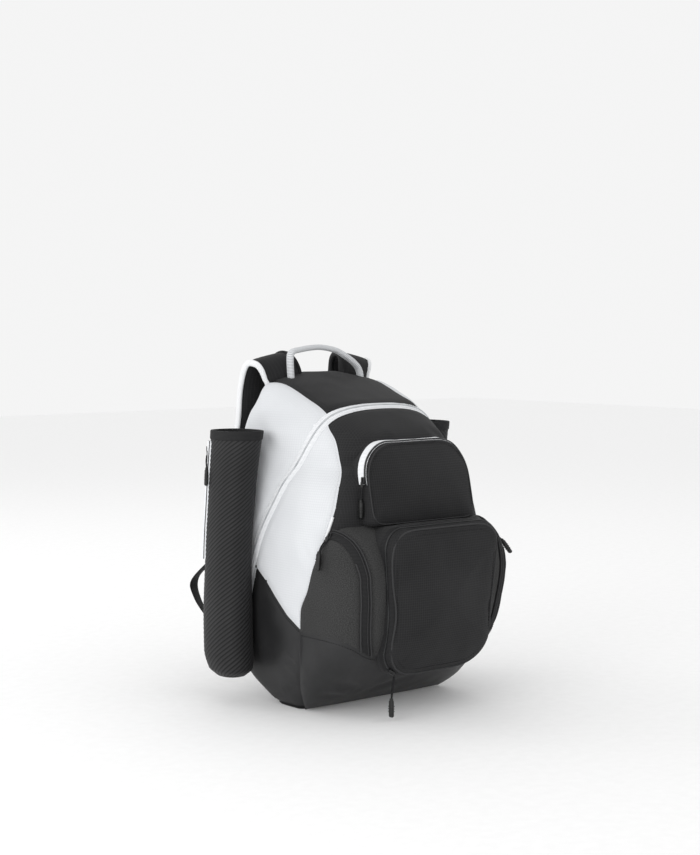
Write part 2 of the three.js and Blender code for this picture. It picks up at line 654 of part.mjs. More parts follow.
// Zip pulls: a slider on its zip, a cord and a moulded grip. Each hangs along three points: the slider, the
// end of the cord and the end of the grip, given from the slider; out is the way that the slider faces.
function zipPull({ at, out, cord, grip }) {
  const start = new THREE.Vector3(...at);
  const outward = new THREE.Vector3(...out).normalize();
  const lift = outward.clone().multiplyScalar(slider_thickness / 2);
  const join = start.clone().add(lift);
  const knot = start.clone().add(new THREE.Vector3(...cord));
  const end = knot.clone().add(new THREE.Vector3(...grip).normalize().multiplyScalar(grip_length));
  const strand = sweep(new THREE.LineCurve3(join, knot), 1, () => ({
    half_width: cord_radius, half_depth: cord_radius, sideways: out }), 6);
  const handle = sweep(new THREE.LineCurve3(knot, end), 4, (t) => {
    const swell = grip_radius * Math.sqrt(Math.max(0.12, 1 - Math.abs(2 * t - 1) ** 6));
    return { half_width: swell, half_depth: swell * 0.8, sideways: out };
  }, 6);
  const slide = new THREE.BoxGeometry(slider_width, slider_length, slider_thickness);
  const up = new THREE.Vector3(...cord).multiplyScalar(-1).addScaledVector(outward,
    new THREE.Vector3(...cord).dot(outward)).normalize();
  slide.applyMatrix4(new THREE.Matrix4().makeBasis(new THREE.Vector3().crossVectors(up, outward), up, outward)
    .setPosition(start));
  return solidOf(slide).add(strand).add(handle);
}

const side_zip_end = side_zip_line.at(-2);
const lower_levels = rows(LOWER_COLUMNS, LOWER_LEVELS);
const side_end_out = lower_front_half_width * alongTable(
  lower_levels.map((level) => [level.height, level.half_width]), side_zip_end[1] / lower_front_height);
const side_end_y = -alongTable(FRONT_SEAM, side_zip_end[1] / body_height) * body_front - slider_width;
const off_lower_front = lowerFrontForm(zip_proud + seam_gap).add(body_clear);
const slider_lift = slider_thickness / 2 + zip_proud + seam_gap;

// The low left end of a pocket's zip
function pocketZipEnd(form, z) {
  const up = (z - form.bottom) / form.height;
  const foot = Math.max(0, 1 - 2 * up) ** 2;
  const fall = Math.max(0, form.bottom + form.bottom_radius - z);
  const corner = form.bottom_radius - Math.sqrt(form.bottom_radius ** 2 - fall ** 2);
  const lean = form.lean_foot * foot + form.lean_top * up;
  const y = -form.reach * POCKET_PROFILE[2][0] + pocket_zip_width / 2 + lean;
  return [-(form.half_width - corner) * (1 - form.narrow_foot * foot), y, z];
}

const top_end = pocketZipEnd(top_pocket, top_zip_low + slider_length / 2);
const big_end = pocketZipEnd(big_pocket, big_zip_low + slider_length / 4);
const sleeve_slider_height = sleeve_zip_top - slider_length;
const sleeve_section = sleeveSection(sleeve_slider_height);
const sleeve_share = sleeve_zip_behind / sleeve_section.half_depth;
const sleeve_end_out = sleeve_section.x
  + sleeve_section.half_width * (1 - sleeve_share ** sleeve_corner) ** (1 / sleeve_corner);
const sleevePull = (side) => ({
  at: [side * (sleeve_end_out + slider_lift * 0.8), sleeve_section.y + sleeve_zip_behind + slider_lift * 0.5,
    sleeve_slider_height],
  out: [side, 0.6, 0], cord: [side * 3, 1, -28], grip: [side * 0.05, 0, -1],
  clear: sleeveForm(side, zip_proud + seam_gap, sleeve_floor, sleeve_height),
});
const PULLS = {
  side_left: { at: [-side_end_out - cord_radius, side_end_y, side_zip_end[1]], out: [-1, -0.2, 0.5],
    cord: [-18, 0, -21], grip: [-0.06, 0.05, -1], clear: off_lower_front },
  side_right: { at: [side_end_out + cord_radius, side_end_y, side_zip_end[1]], out: [1, -0.2, 0.5],
    cord: [36, -10, -31], grip: [0.55, -0.2, -0.8], clear: off_lower_front },
  top_pocket: { at: [top_end[0] - slider_lift, top_end[1], top_end[2]], out: [-1, 0, 0], cord: [-3, 1, -28],
    grip: [-0.02, 0, -1], clear: pocketForm(top_pocket, zip_proud + seam_gap).add(carried) },
  big_pocket: { at: [big_end[0] - slider_lift * 0.3, big_end[1], big_end[2] - slider_lift * 0.4],
    out: [-0.6, 0, -0.8], cord: [-1, -2, grip_length + slider_thickness - big_end[2]], grip: [0, 0, -1],
    clear: pocketForm(big_pocket, zip_proud + seam_gap).add(lower_clear) },
  sleeve_left: sleevePull(-1),
  sleeve_right: sleevePull(1),
};

const finish = {
  base_panel: cloth.coated, base_front: cloth.coated, base_side_left: cloth.coated,
  base_side_right: cloth.coated, side_panel_left: cloth.ripstop_white, side_panel_right: cloth.ripstop_white,
  top_panel: cloth.ripstop_black, front_panel: cloth.ripstop_black, back_panel: cloth.padding,
  main_zip: cloth.tape_white, pocket_surround: cloth.heather, side_pocket_left: cloth.heather,
  side_pocket_right: cloth.heather, side_pocket_zip_left: cloth.tape_black,
  side_pocket_zip_right: cloth.tape_black, big_pocket: cloth.ripstop_black,
  big_pocket_zip: cloth.tape_black, top_pocket: cloth.ripstop_black, top_pocket_zip: cloth.tape_white,
  sleeve_left: cloth.embossed, sleeve_right: cloth.embossed, sleeve_zip_left: cloth.tape_white,
  sleeve_zip_right: cloth.tape_white, grab_handle: cloth.tape_white,
  shoulder_strap_left: cloth.padding, shoulder_strap_right: cloth.padding,
  strap_binding_left: cloth.tape_white, strap_binding_right: cloth.tape_white,
  ladder_lock_left: cloth.plastic, ladder_lock_right: cloth.plastic,
  webbing_left: cloth.tape_black, webbing_right: cloth.tape_black,
};

for (const [name, pull] of Object.entries(PULLS)) {
  pieces[`pull_${name}`] = zipPull(pull).subtract(pull.clear);
  finish[`pull_${name}`] = cloth.plastic;
}

const bag = new THREE.Group();
for (const [name, solid] of Object.entries(pieces)) {
  const mesh = new THREE.Mesh(geometryOf(solid), new THREE.MeshStandardMaterial(finish[name]));
  mesh.name = name;
  bag.add(mesh);
}

export default bag;
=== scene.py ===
# %% [markdown]
# # A baseball backpack
# The bag is a sewn soft shell with pockets on its front, a long open sleeve on each side, two padded
# straps and a grab handle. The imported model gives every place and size. This lesson dresses it in cloth:
# each panel becomes a thin sewn skin with rolled seams, and each finish becomes a procedural material.

# %% Load the frame
import math

import bmesh
import bpy
import numpy as np
from mathutils import Matrix, Vector, noise
from mathutils.bvhtree import BVHTree
from mathutils.kdtree import KDTree


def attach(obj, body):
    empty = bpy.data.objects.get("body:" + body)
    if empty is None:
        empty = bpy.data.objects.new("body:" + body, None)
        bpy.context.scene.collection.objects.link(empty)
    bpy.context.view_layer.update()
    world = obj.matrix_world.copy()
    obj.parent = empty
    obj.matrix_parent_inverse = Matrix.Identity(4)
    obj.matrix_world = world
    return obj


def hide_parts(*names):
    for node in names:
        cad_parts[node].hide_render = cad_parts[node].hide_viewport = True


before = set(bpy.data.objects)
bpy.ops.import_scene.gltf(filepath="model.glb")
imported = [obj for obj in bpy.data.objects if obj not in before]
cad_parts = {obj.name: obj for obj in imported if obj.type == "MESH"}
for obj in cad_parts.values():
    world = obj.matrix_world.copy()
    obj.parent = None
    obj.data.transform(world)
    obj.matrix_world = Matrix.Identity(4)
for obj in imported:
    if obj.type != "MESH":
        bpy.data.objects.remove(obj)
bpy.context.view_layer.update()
bpy.ops.object.select_all(action="DESELECT")
MM = 0.001
print("the frame holds", len(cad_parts), "nodes")

# %% [markdown]
# ## Camera, floor and light
# The camera stands where the photographer stood, low and to the left of the front. A long lens from two and
# a half metres keeps the sides nearly parallel. The floor is a plain pale sheet, and three large soft
# lamps and a pale sky light the cloth without hard shadows.

# %% Camera, floor and light
TURN, DROP, DISTANCE, LENS = math.radians(40), math.radians(3.6), 2.55, 71.58
AIM, SIDE_STEP, LIFT = Vector((0, 0, 0.29)), -0.012, 0.11175


def set_camera():
    forward = Vector((math.sin(TURN) * math.cos(DROP), math.cos(TURN) * math.cos(DROP), -math.sin(DROP)))
    right = Vector((math.cos(TURN), -math.sin(TURN), 0))
    up = right.cross(forward)
    spot = AIM - forward * DISTANCE + right * SIDE_STEP + up * LIFT
    bpy.ops.object.camera_add(location=spot, rotation=Matrix((right, up, -forward)).transposed().to_euler())
    camera = bpy.context.object
    camera.data.lens = LENS
    bpy.context.scene.camera = camera


def add_lamp(place, size, power, aim=(0, 0, 0.25)):
    way = Vector(aim) - Vector(place)
    bpy.ops.object.light_add(type="AREA", location=place, rotation=way.to_track_quat("-Z", "Y").to_euler())
    lamp = bpy.context.object.data
    lamp.shape, lamp.size, lamp.energy = "DISK", size, power


set_camera()
add_lamp((-2.9, -0.9, 1.0), 2.2, 30)
add_lamp((-1.6, 2.4, 1.4), 2.0, 10)
add_lamp((0.8, 1.6, 2.2), 1.8, 4)
bpy.ops.mesh.primitive_plane_add(size=14, location=(0, 0, -0.0002))
floor = bpy.context.object
floor.name = "floor"
world = bpy.context.scene.world or bpy.data.worlds.new("pale sky")
bpy.context.scene.world = world
world.use_nodes = True
world.node_tree.nodes["Background"].inputs["Color"].default_value = (1, 1, 1, 1)
world.node_tree.nodes["Background"].inputs["Strength"].default_value = 0.91
bpy.context.scene.view_settings.view_transform = "Standard"
print("camera at", [round(v, 3) for v in bpy.context.scene.camera.location])

# %% [markdown]
# ## Materials
# Every cloth starts from what it is. One helper adds a node, sets it and links it. Colours are the values
# that the eye sees, turned to linear light by one function. Weave follows a UV map called "cloth", which
# holds real metres, so a 4 mm ripstop square is 4 mm on every panel.

# %% Helpers for materials
def linear(code):
    parts = [int(code[i:i + 2], 16) / 255 for i in (1, 3, 5)]
    return [c / 12.92 if c <= 0.04045 else ((c + 0.055) / 1.055) ** 2.4 for c in parts] + [1]


def add_node(tree, kind, links=(), out=0, stops=(), **values):
    """Adds a node with its settings, gives its sockets links or numbers, and hands back one output"""
    node = tree.nodes.new("ShaderNode" + kind)
    for name, value in values.items():
        if name in node.inputs:
            node.inputs[name].default_value = value
        else:
            setattr(node, name, value)
    for socket, source in dict(links).items():
        if isinstance(source, (int, float)):
            node.inputs[socket].default_value = source
        else:
            tree.links.new(source, node.inputs[socket])
    for i, (place, colour) in enumerate(stops):
        spot = node.color_ramp.elements[i] if i < 2 else node.color_ramp.elements.new(place)
        spot.position, spot.color = place, colour
    return node.outputs[out]


def new_finish(name, roughness, **shader_values):
    material = bpy.data.materials.new(name)
    material.use_nodes = True
    tree = material.node_tree
    shader = tree.nodes["Principled BSDF"]
    shader.inputs["Roughness"].default_value = roughness
    for socket, value in shader_values.items():
        shader.inputs[socket.replace("_", " ")].default_value = value
    return material, tree, shader


def bands(direction, spacing):
    """Settings of a wave texture: bands across one direction of the cloth, spacing in metres"""
    return dict(wave_type="BANDS", bands_direction=direction, wave_profile="SIN",
                Scale=math.pi / 10 / spacing, Distortion=0.0, out="Fac")


def add_shares(tree, a, a_share, b, b_share):
    """Two values, each times its share, added up"""
    a, b = (add_node(tree, "Math", {0: value, 1: share}, operation="MULTIPLY")
            for value, share in ((a, a_share), (b, b_share)))
    return add_node(tree, "Math", {0: a, 1: b}, operation="ADD")


def dress(tree, shader, colour, height, strength, distance):
    """Gives the shader its colour, and the height as relief"""
    tree.links.new(colour, shader.inputs["Base Color"])
    relief = add_node(tree, "Bump", {"Height": height}, Strength=strength, Distance=distance)
    tree.links.new(relief, shader.inputs["Normal"])


def grey(level):
    return (level, level, level, 1)


# %% [markdown]
# ### The cloths
# Ripstop polyester has a fine plain weave with a thicker thread every 4 mm, which draws a faint grid. The
# heathered cloth mixes dark and light yarns. The base is coated, so its weave is nearly filled and it has
# a soft sheen. The sleeves are embossed, and the tapes are woven in tight ribs.

# %% Cloth materials
YARNS_PER_METRE = (620, 900, 1)


def woven(name, dark, light, thread=0.0012, grid=0.004, grid_depth=0.35, roughness=0.8, sheen=0.04,
          bump=0.25, speckle=0.0):
    """Plain weave of two near colours with an optional ripstop grid and optional light yarns"""
    material, tree, shader = new_finish(name, roughness, Sheen_Weight=sheen, Sheen_Roughness=0.5,
                                        Specular_IOR_Level=0.2)
    where = add_node(tree, "UVMap", uv_map="cloth")
    across = add_node(tree, "TexWave", {"Vector": where}, **bands("X", thread))
    along = add_node(tree, "TexWave", {"Vector": where}, **bands("Y", thread))
    weave = add_node(tree, "Math", {0: across, 1: along}, operation="MULTIPLY")
    body = add_node(tree, "TexCoord", out="Object")
    cloud = add_node(tree, "TexNoise", {"Vector": body}, Scale=9.0, Detail=3.0)
    tone, height = add_shares(tree, weave, 0.35, cloud, 0.65), weave
    if speckle:
        stretch = add_node(tree, "Mapping", {"Vector": where}, Scale=YARNS_PER_METRE)
        yarn = add_node(tree, "TexNoise", {"Vector": stretch}, Scale=1.0, Detail=2.0)
        tone = add_shares(tree, tone, 1 - speckle, yarn, speckle)
    if grid:
        waves = [add_node(tree, "TexWave", {"Vector": where}, **bands(way, grid)) for way in "XY"]
        squares = [add_node(tree, "ValToRGB", {"Fac": wave}, stops=[(0.86, grey(0)), (1, grey(1))])
                   for wave in waves]
        lines = add_node(tree, "Math", {0: squares[0], 1: squares[1]}, operation="MAXIMUM")
        height = add_shares(tree, weave, 1, lines, 1.6)
        tone = add_shares(tree, tone, 1, lines, grid_depth)
    colour = add_node(tree, "ValToRGB", {"Fac": tone}, stops=[(0.25, linear(dark)), (0.85, linear(light))])
    dress(tree, shader, colour, height, bump, 0.0004)
    return material


def ribbed_tape(name, dark, light, rib=0.0018, roughness=0.75):
    """Woven tape or webbing: ribs run across its length"""
    material, tree, shader = new_finish(name, roughness, Specular_IOR_Level=0.2)
    where = add_node(tree, "UVMap", uv_map="cloth")
    ribs = add_node(tree, "TexWave", {"Vector": where}, **bands("Y", rib))
    threads = add_node(tree, "TexWave", {"Vector": where}, **bands("X", rib * 0.6))
    height = add_shares(tree, ribs, 1, threads, 0.5)
    colour = add_node(tree, "ValToRGB", {"Fac": ribs}, stops=[(0.1, linear(dark)), (0.8, linear(light))])
    dress(tree, shader, colour, height, 0.35, 0.0005)
    return material


def coated_cloth(name, dark, light):
    """Polyurethane coating over a coarse weave: smooth, a little leathery, with a soft sheen"""
    material, tree, shader = new_finish(name, 0.42, Specular_IOR_Level=0.3)
    body = add_node(tree, "TexCoord", out="Object")
    cloud = add_node(tree, "TexNoise", {"Vector": body}, Scale=14.0, Detail=4.0)
    grain = add_node(tree, "TexVoronoi", {"Vector": body}, Scale=1100.0)
    colour = add_node(tree, "ValToRGB", {"Fac": cloud}, stops=[(0.3, linear(dark)), (0.75, linear(light))])
    rough = add_node(tree, "ValToRGB", {"Fac": cloud}, stops=[(0.3, grey(0.4)), (0.8, grey(0.55))])
    tree.links.new(rough, shader.inputs["Roughness"])
    dress(tree, shader, colour, grain, 0.16, 0.0003)
    return material


def moulded(name, dark, light, roughness, grit=0.0006):
    """Moulded plastic or rubber with a fine spark-eroded grain and a few rubbed places"""
    material, tree, shader = new_finish(name, roughness, IOR=1.5)
    body = add_node(tree, "TexCoord", out="Object")
    cloud = add_node(tree, "TexNoise", {"Vector": body}, Scale=60.0, Detail=3.0)
    grain = add_node(tree, "TexNoise", {"Vector": body}, Scale=1 / grit)
    colour = add_node(tree, "ValToRGB", {"Fac": cloud}, stops=[(0.35, linear(dark)), (0.7, linear(light))])
    dress(tree, shader, colour, grain, 0.15, 0.0002)
    return material


ripstop_black = woven("black ripstop polyester", "#1b1b1c", "#2f2f30", grid=0.0035)
ripstop_white = woven("white ripstop polyester", "#cfd1d4", "#e7e9eb", grid=0.0035, grid_depth=-0.2,
                      sheen=0.02, bump=0.12, roughness=0.72)
heather_grey = woven("heathered polyester", "#151515", "#525252", thread=0.0016, grid=0, speckle=0.75,
                     roughness=0.9, bump=0.4)
coated_base = coated_cloth("coated base cloth", "#1c1c1d", "#2e2e2f")
ribbed_cloth = woven("embossed sleeve cloth", "#262627", "#3e3e3f", grid=0, roughness=0.6, bump=0.15)
binding_black = ribbed_tape("black binding tape", "#161617", "#2b2b2c")
tape_white = ribbed_tape("white zip tape", "#d3d5d8", "#f4f5f7")
edge_white = ribbed_tape("white edge binding", "#d9dadc", "#f3f4f5", rib=0.0014)
# painted highlight: the black piping is coloured lighter than the black binding tape, standing in for the
# highlights on its beads
piping_black = ribbed_tape("black piping", "#242425", "#444445", rib=0.0014)
handle_white = ribbed_tape("white handle webbing", "#a9abae", "#dfe1e3", rib=0.0022)
webbing_black = ribbed_tape("black strap webbing", "#131314", "#29292a", rib=0.002)
padding_black = woven("black padded strap cloth", "#1a1a1b", "#2d2d2e", grid=0.003)
air_mesh = woven("charcoal air mesh", "#262627", "#474748", thread=0.0028, grid=0, bump=0.9, roughness=0.9)
rubber_black = moulded("black moulded pull rubber", "#090909", "#151515", 0.45)
acetal_black = moulded("black acetal buckle", "#101112", "#1d1e20", 0.38)
coil_grey = moulded("grey nylon zip coil", "#a9acaf", "#c9cbcd", 0.45)
coil_black = moulded("black nylon zip coil", "#0d0e0f", "#1b1c1e", 0.4)
enamel_black = moulded("black enamelled slider", "#0b0b0c", "#18181a", 0.32)
pale_floor = moulded("pale studio paper", "#efefef", "#f2f2f2", 0.9, grit=0.004)
for socket, value in (("Emission Color", (1, 1, 1, 1)), ("Emission Strength", 0.07)):
    pale_floor.node_tree.nodes["Principled BSDF"].inputs[socket].default_value = value
floor.data.materials.append(pale_floor)


def paint_groove_shade(material, rib):
    """Paints shade into the pressed grooves of the sleeve cloth, which its own UV map counts"""
    tree = material.node_tree
    shader = tree.nodes["Principled BSDF"]
    count = add_node(tree, "UVMap", uv_map="ribs")
    wave = add_node(tree, "TexWave", {"Vector": count}, **bands("X", rib))
    # painted shade: the grooves' colour drops to a fifth, standing in for their shadow
    groove_shade = add_node(tree, "ValToRGB", {"Fac": wave}, stops=[(0.05, grey(0.2)), (0.6, grey(1.0))])
    cloth = shader.inputs["Base Color"].links[0].from_socket
    shade = add_node(tree, "Mix", {0: 1, 6: cloth, 7: groove_shade}, out=2, data_type="RGBA", blend_type="MULTIPLY")
    tree.links.new(shade, shader.inputs["Base Color"])


paint_groove_shade(ribbed_cloth, 1.0)
print("materials:", len(bpy.data.materials))

# %% [markdown]
# ## The forms
# The bag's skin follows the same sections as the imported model, but as smooth curves: each column of the
# table becomes a curve without overshoot, and each section is a rounded outline. Heights and widths are
# shares of the real sizes, in millimetres.

# %% Tables of the shell
BODY_HEIGHT, BODY_HALF_WIDTH, BODY_FRONT, BODY_BACK = 483, 158, 128, 125
BODY_LEVELS = [
    (0, 0.84, 0.28, 0.34, -0.1, 5, 0), (0.04, 0.89, 0.45, 0.56, 0.1, 5, 0),
    (0.085, 0.93, 0.6, 0.75, 0.26, 6, 0), (0.21, 0.98, 0.85, 0.99, 0.44, 8, 0),
    (0.46, 1, 1, 1, 0.44, 8, 0), (0.62, 0.98, 1, 1, 0.44, 6.5, 0.07), (0.67, 0.968, 0.99, 1, 0.44, 6, 0.12),
    (0.74, 0.943, 0.97, 1, 0.44, 5, 0.29), (0.81, 0.918, 0.88, 1, 0.44, 4, 0.31),
    (0.878, 0.865, 0.57, 0.99, 0.48, 2.9, 0.21), (0.907, 0.815, 0.4, 0.98, 0.52, 2.4, 0.1),
    (0.932, 0.77, 0.14, 0.96, 0.56, 2.2, 0.04), (0.965, 0.665, -0.22, 0.93, 0.64, 2.2, 0),
    (1, 0.19, -0.62, 0.86, 0.74, 2, 0),
]
LOWER_HEIGHT, LOWER_HALF_WIDTH, LOWER_REACH = 272, 160, 182
LOWER_LEVELS = [
    (0, 0.83, 0.22, 4), (0.07, 0.885, 0.41, 4), (0.15, 0.93, 0.58, 3.6), (0.25, 0.955, 0.745, 3.7),
    (0.37, 0.975, 0.895, 4.5), (0.48, 0.99, 0.955, 5), (0.74, 1, 1, 5.5), (0.86, 0.985, 0.97, 4.6),
    (0.93, 0.95, 0.91, 4), (0.97, 0.9, 0.83, 3.6), (1, 0.83, 0.74, 3.2), (1.012, 0.77, 0.62, 3),
]
FRONT_SEAM = [
    (0, 0.3), (0.25, 0.45), (0.31, 0.47), (0.375, 0.6), (0.435, 0.68), (0.51, 0.79), (0.565, 0.82),
    (0.62, 0.835), (0.67, 0.81), (0.74, 0.68), (0.81, 0.545), (0.855, 0.39), (0.878, 0.34),
    (0.907, 0.4), (0.96, 0.5), (1.1, 0.75),
]
FOOT_SEAM = [
    (0.25, 0.45), (0.288, 0.2), (0.335, 0), (0.377, -0.16), (0.416, -0.35), (0.342, -0.44),
    (0.27, -0.52), (0.2, -0.63), (0.16, -0.8),
]
FRONT_FOOT_SEAM = [(0, 0.315), (0.53, 0.325), (0.66, 0.34), (0.74, 0.36), (0.85, 0.4), (1.1, 0.47)]
MAIN_ZIP_LINE = [
    (0.354, -0.55), (0.532, -0.26), (0.64, -0.03), (0.76, 0.19), (0.84, 0.31), (0.878, 0.35),
    (0.907, 0.4), (0.96, 0.5),
]
SIDE_ZIP_PLACE = 133
SIDE_ZIP_LINE = [
    (0.76, 0.27), (0.83, 0.33), (0.9, 0.4), (0.945, 0.48), (0.98, 0.63), (1, 0.72), (1.005, 0.78),
    (1.03, 0.87), (1.065, 0.96), (1.15, 1.02),
]
CROWN_HALF_WIDTH, PAD_START, MAIN_ZIP_HALF, SIDE_ZIP_HALF = 91, 112, 8, 8
FAR = 600


# %% Smooth columns and rings
def smooth_column(heights, values):
    """A curve through (height, value) pairs that never overshoots them"""
    heights, values = np.array(heights, float), np.array(values, float)
    step = np.diff(heights)
    slope = np.diff(values) / step
    lean = np.zeros(len(values))
    lean[0], lean[-1] = slope[0], slope[-1]
    for i in range(1, len(slope)):
        if slope[i - 1] * slope[i] > 0:
            a, b = 2 * step[i] + step[i - 1], step[i] + 2 * step[i - 1]
            lean[i] = (a + b) / (a / slope[i - 1] + b / slope[i])

    def at(x):
        k = min(max(int(np.searchsorted(heights, x)) - 1, 0), len(step) - 1)
        t = min(max((x - heights[k]) / step[k], 0), 1)
        return (values[k] * (1 + 2 * t) * (1 - t) ** 2 + lean[k] * step[k] * t * (1 - t) ** 2
                + values[k + 1] * t * t * (3 - 2 * t) + lean[k + 1] * step[k] * t * t * (t - 1))
    return at


def columns_of(table):
    heights = [row[0] for row in table]
    return [smooth_column(heights, [row[i] for row in table]) for i in range(1, len(table[0]))]


def even_ring(ring, count):
    """The same closed outline with evenly spaced points"""
    closed = np.vstack([ring, ring[:1]])
    run = np.concatenate([[0], np.cumsum(np.linalg.norm(np.diff(closed, axis=0), axis=1))])
    spots = np.linspace(0, run[-1], count, endpoint=False)
    return np.column_stack([np.interp(spots, run, closed[:, i]) for i in range(3)])


def outline(half_width, front, back, middle, corner, z, count, taper=0, x=0):
    """Square-cornered half ellipses in front of and behind the line y = middle, from the back middle"""
    angle = np.linspace(0, 2 * math.pi, 721)[:-1] + math.pi / 2
    c, s = np.cos(angle), np.sin(angle)
    r = (np.abs(c) ** corner + np.abs(s) ** corner) ** (-1 / corner)
    depth = np.where(s < 0, middle - front, back - middle)
    width = half_width * (1 - taper * np.maximum(0, -r * s))
    return even_ring(np.column_stack([x + width * r * c, middle + depth * r * s, np.full(720, z)]), count)


def loft(name, rings, caps=(True, True)):
    """A skin through equal rings, closed round and capped at its ends"""
    count = len(rings[0])
    points = np.vstack(rings)
    faces = [(r * count + i, r * count + (i + 1) % count, (r + 1) * count + (i + 1) % count,
              (r + 1) * count + i) for r in range(len(rings) - 1) for i in range(count)]
    if caps[0]:
        faces.append(tuple(reversed(range(count))))
    if caps[1]:
        faces.append(tuple(range((len(rings) - 1) * count, len(rings) * count)))
    return new_piece(name, points * MM, faces)


def new_piece(name, points, faces):
    mesh = bpy.data.meshes.new(name)
    mesh.from_pydata([tuple(p) for p in points], [], faces)
    mesh.update()
    piece = bpy.data.objects.new(name, mesh)
    bpy.context.scene.collection.objects.link(piece)
    return piece


front_seam_y = smooth_column([h * BODY_HEIGHT for h, _ in FRONT_SEAM],
                             [-f * BODY_FRONT for _, f in FRONT_SEAM])


def body_rings(rows, count):
    half_width, front, back, widest, corner, taper = columns_of(BODY_LEVELS)
    rings = []
    for z in rows:
        h = z / BODY_HEIGHT
        rings.append(outline(half_width(h) * BODY_HALF_WIDTH, -front(h) * BODY_FRONT, back(h) * BODY_BACK,
                             widest(h) * BODY_BACK, corner(h), z, count, taper(h)))
    return rings


rows = np.concatenate([np.linspace(0, 60, 18)[:-1], np.linspace(60, 420, 96)[:-1],
                       np.linspace(420, BODY_HEIGHT, 30)])
body_skin = loft("body_skin", body_rings(rows, 260))
print("body skin:", len(body_skin.data.polygons), "faces")

# %% [markdown]
# ## Cutting the panels
# A tailor draws the seam lines on the form and cuts along them. Here a field is a number for every point,
# nought on the seam. The faces that the seam crosses are split exactly on it, and each face then goes to
# the panel whose side of the seams it lies on.

# %% Fields, splitting and sorting
def spline(points, steps=14):
    """A smooth line through 2-D points"""
    p = np.array(points, float)
    p = np.vstack([2 * p[0] - p[1], p, 2 * p[-1] - p[-2]])
    out = []
    for i in range(1, len(p) - 2):
        for t in np.linspace(0, 1, steps, endpoint=False):
            out.append(0.5 * (2 * p[i] + (p[i + 1] - p[i - 1]) * t
                              + (2 * p[i - 1] - 5 * p[i] + 4 * p[i + 1] - p[i + 2]) * t ** 2
                              + (3 * p[i] - p[i - 1] - 3 * p[i + 1] + p[i + 2]) * t ** 3))
    return np.array(out + [p[-2]])


def side_of(line):
    """Signed distance from a 2-D line: positive on the left of its direction"""
    start, step = line[:-1], np.diff(line, axis=0)
    length2 = (step ** 2).sum(1)

    def at(u, v):
        rel = np.array((u, v)) - start
        t = np.clip((rel * step).sum(1) / length2, 0, 1)
        gap = rel - step * t[:, None]
        d2 = (gap ** 2).sum(1)
        k = int(d2.argmin())
        side = step[k, 0] * rel[k, 1] - step[k, 1] * rel[k, 0]
        return math.copysign(math.sqrt(d2[k]), side)
    return at


def split_along(bm, field, near=None):
    """Splits the faces that the zero line of a field crosses"""
    value = {v: field(*(v.co / MM)) for v in bm.verts}
    crossing = [e for e in bm.edges if value[e.verts[0]] * value[e.verts[1]] < 0
                and (near is None or near(*(e.verts[0].co / MM)))]
    fresh = {}
    for edge in crossing:
        a, b = edge.verts
        share = value[a] / (value[a] - value[b])
        if 0.02 < share < 0.98:
            fresh[bmesh.utils.edge_split(edge, a, share)[1]] = True
        else:
            fresh[a if share <= 0.02 else b] = True
    for face in dict.fromkeys(f for v in list(fresh) for f in v.link_faces):
        ends = [v for v in face.verts if v in fresh]
        if len(ends) == 2 and not any(set(e.verts) == set(ends) for e in face.edges):
            bmesh.utils.face_split(face, ends[0], ends[1])


def cut(skin, *seams):
    """Splits a skin along the zero line of each (field, where it applies)"""
    bm = bmesh.new()
    bm.from_mesh(skin.data)
    for field, near in seams:
        split_along(bm, field, near)
    bm.to_mesh(skin.data)
    bm.free()


def sort_panels(skin, choose):
    """Makes one object for each name that choose gives to the middle of a face"""
    bm = bmesh.new()
    bm.from_mesh(skin.data)
    groups = {}
    for face in bm.faces:
        groups.setdefault(choose(*(face.calc_center_median() / MM)), []).append(face.index)
    bm.free()
    panels = {}
    for name, members in groups.items():
        if name is None:
            continue
        keep = set(members)
        piece = bpy.data.objects.new(name, skin.data.copy())
        bpy.context.scene.collection.objects.link(piece)
        part = bmesh.new()
        part.from_mesh(piece.data)
        part.faces.ensure_lookup_table()
        bmesh.ops.delete(part, geom=[f for f in part.faces if f.index not in keep], context="FACES")
        part.to_mesh(piece.data)
        part.free()
        panels[name] = piece
    bpy.data.objects.remove(skin)
    return panels


zip_line = side_of(spline([(-f * BODY_FRONT, h * BODY_HEIGHT) for h, f in MAIN_ZIP_LINE]))
foot_line = side_of(spline([(-FAR, 0.25 * BODY_HEIGHT)]
                           + [(-f * BODY_FRONT, h * BODY_HEIGHT) for h, f in FOOT_SEAM]
                           + [(FAR, 0.16 * BODY_HEIGHT)], steps=1))
low_zip_end = MAIN_ZIP_LINE[0][0] * BODY_HEIGHT


def behind_seam(x, y, z):
    return y - front_seam_y(z)


def over_foot(x, y, z):
    return foot_line(y, z)


def from_zip(x, y, z):
    return abs(zip_line(y, z)) - MAIN_ZIP_HALF if z > low_zip_end - 6 else 9.0


def from_crown_edge(x, y, z):
    return abs(x) - CROWN_HALF_WIDTH


def from_pad(x, y, z):
    return y - PAD_START


FLOOR_SEAM = 1.5
cut(body_skin, (behind_seam, None), (over_foot, lambda x, y, z: z < 215), (from_zip, None),
    (from_crown_edge, lambda x, y, z: z > 240), (from_pad, None),
    (lambda x, y, z: z - FLOOR_SEAM, lambda x, y, z: z < 10))


def body_panel(x, y, z):
    side = "left" if x < 0 else "right"
    if z < FLOOR_SEAM:
        return "base_panel"
    if y > PAD_START:
        return "back_panel"
    if from_zip(x, y, z) < 0:
        return "main_zip"
    if behind_seam(x, y, z) < 0:
        return "front_panel"
    if abs(x) < CROWN_HALF_WIDTH and z > BODY_HEIGHT / 2:
        return "top_panel"
    return f"side_panel_{side}" if over_foot(x, y, z) > 0 else f"base_side_{side}"


panels = sort_panels(body_skin, body_panel)
print({name: len(piece.data.polygons) for name, piece in panels.items()})

# %% [markdown]
# ## Sewing
# Sewn cloth is drawn in at its seams, swells between them and puckers a little beside the thread. Each
# panel's points are moved along the surface's normal by how far they lie from the panel's edge, with calm
# noise for the hand-made look. The skin then gets its thickness towards the inside. Only the back panel is
# blown out by the cloth simulation first, as padding is. It tore folds into the pockets, whose skins are
# rings.

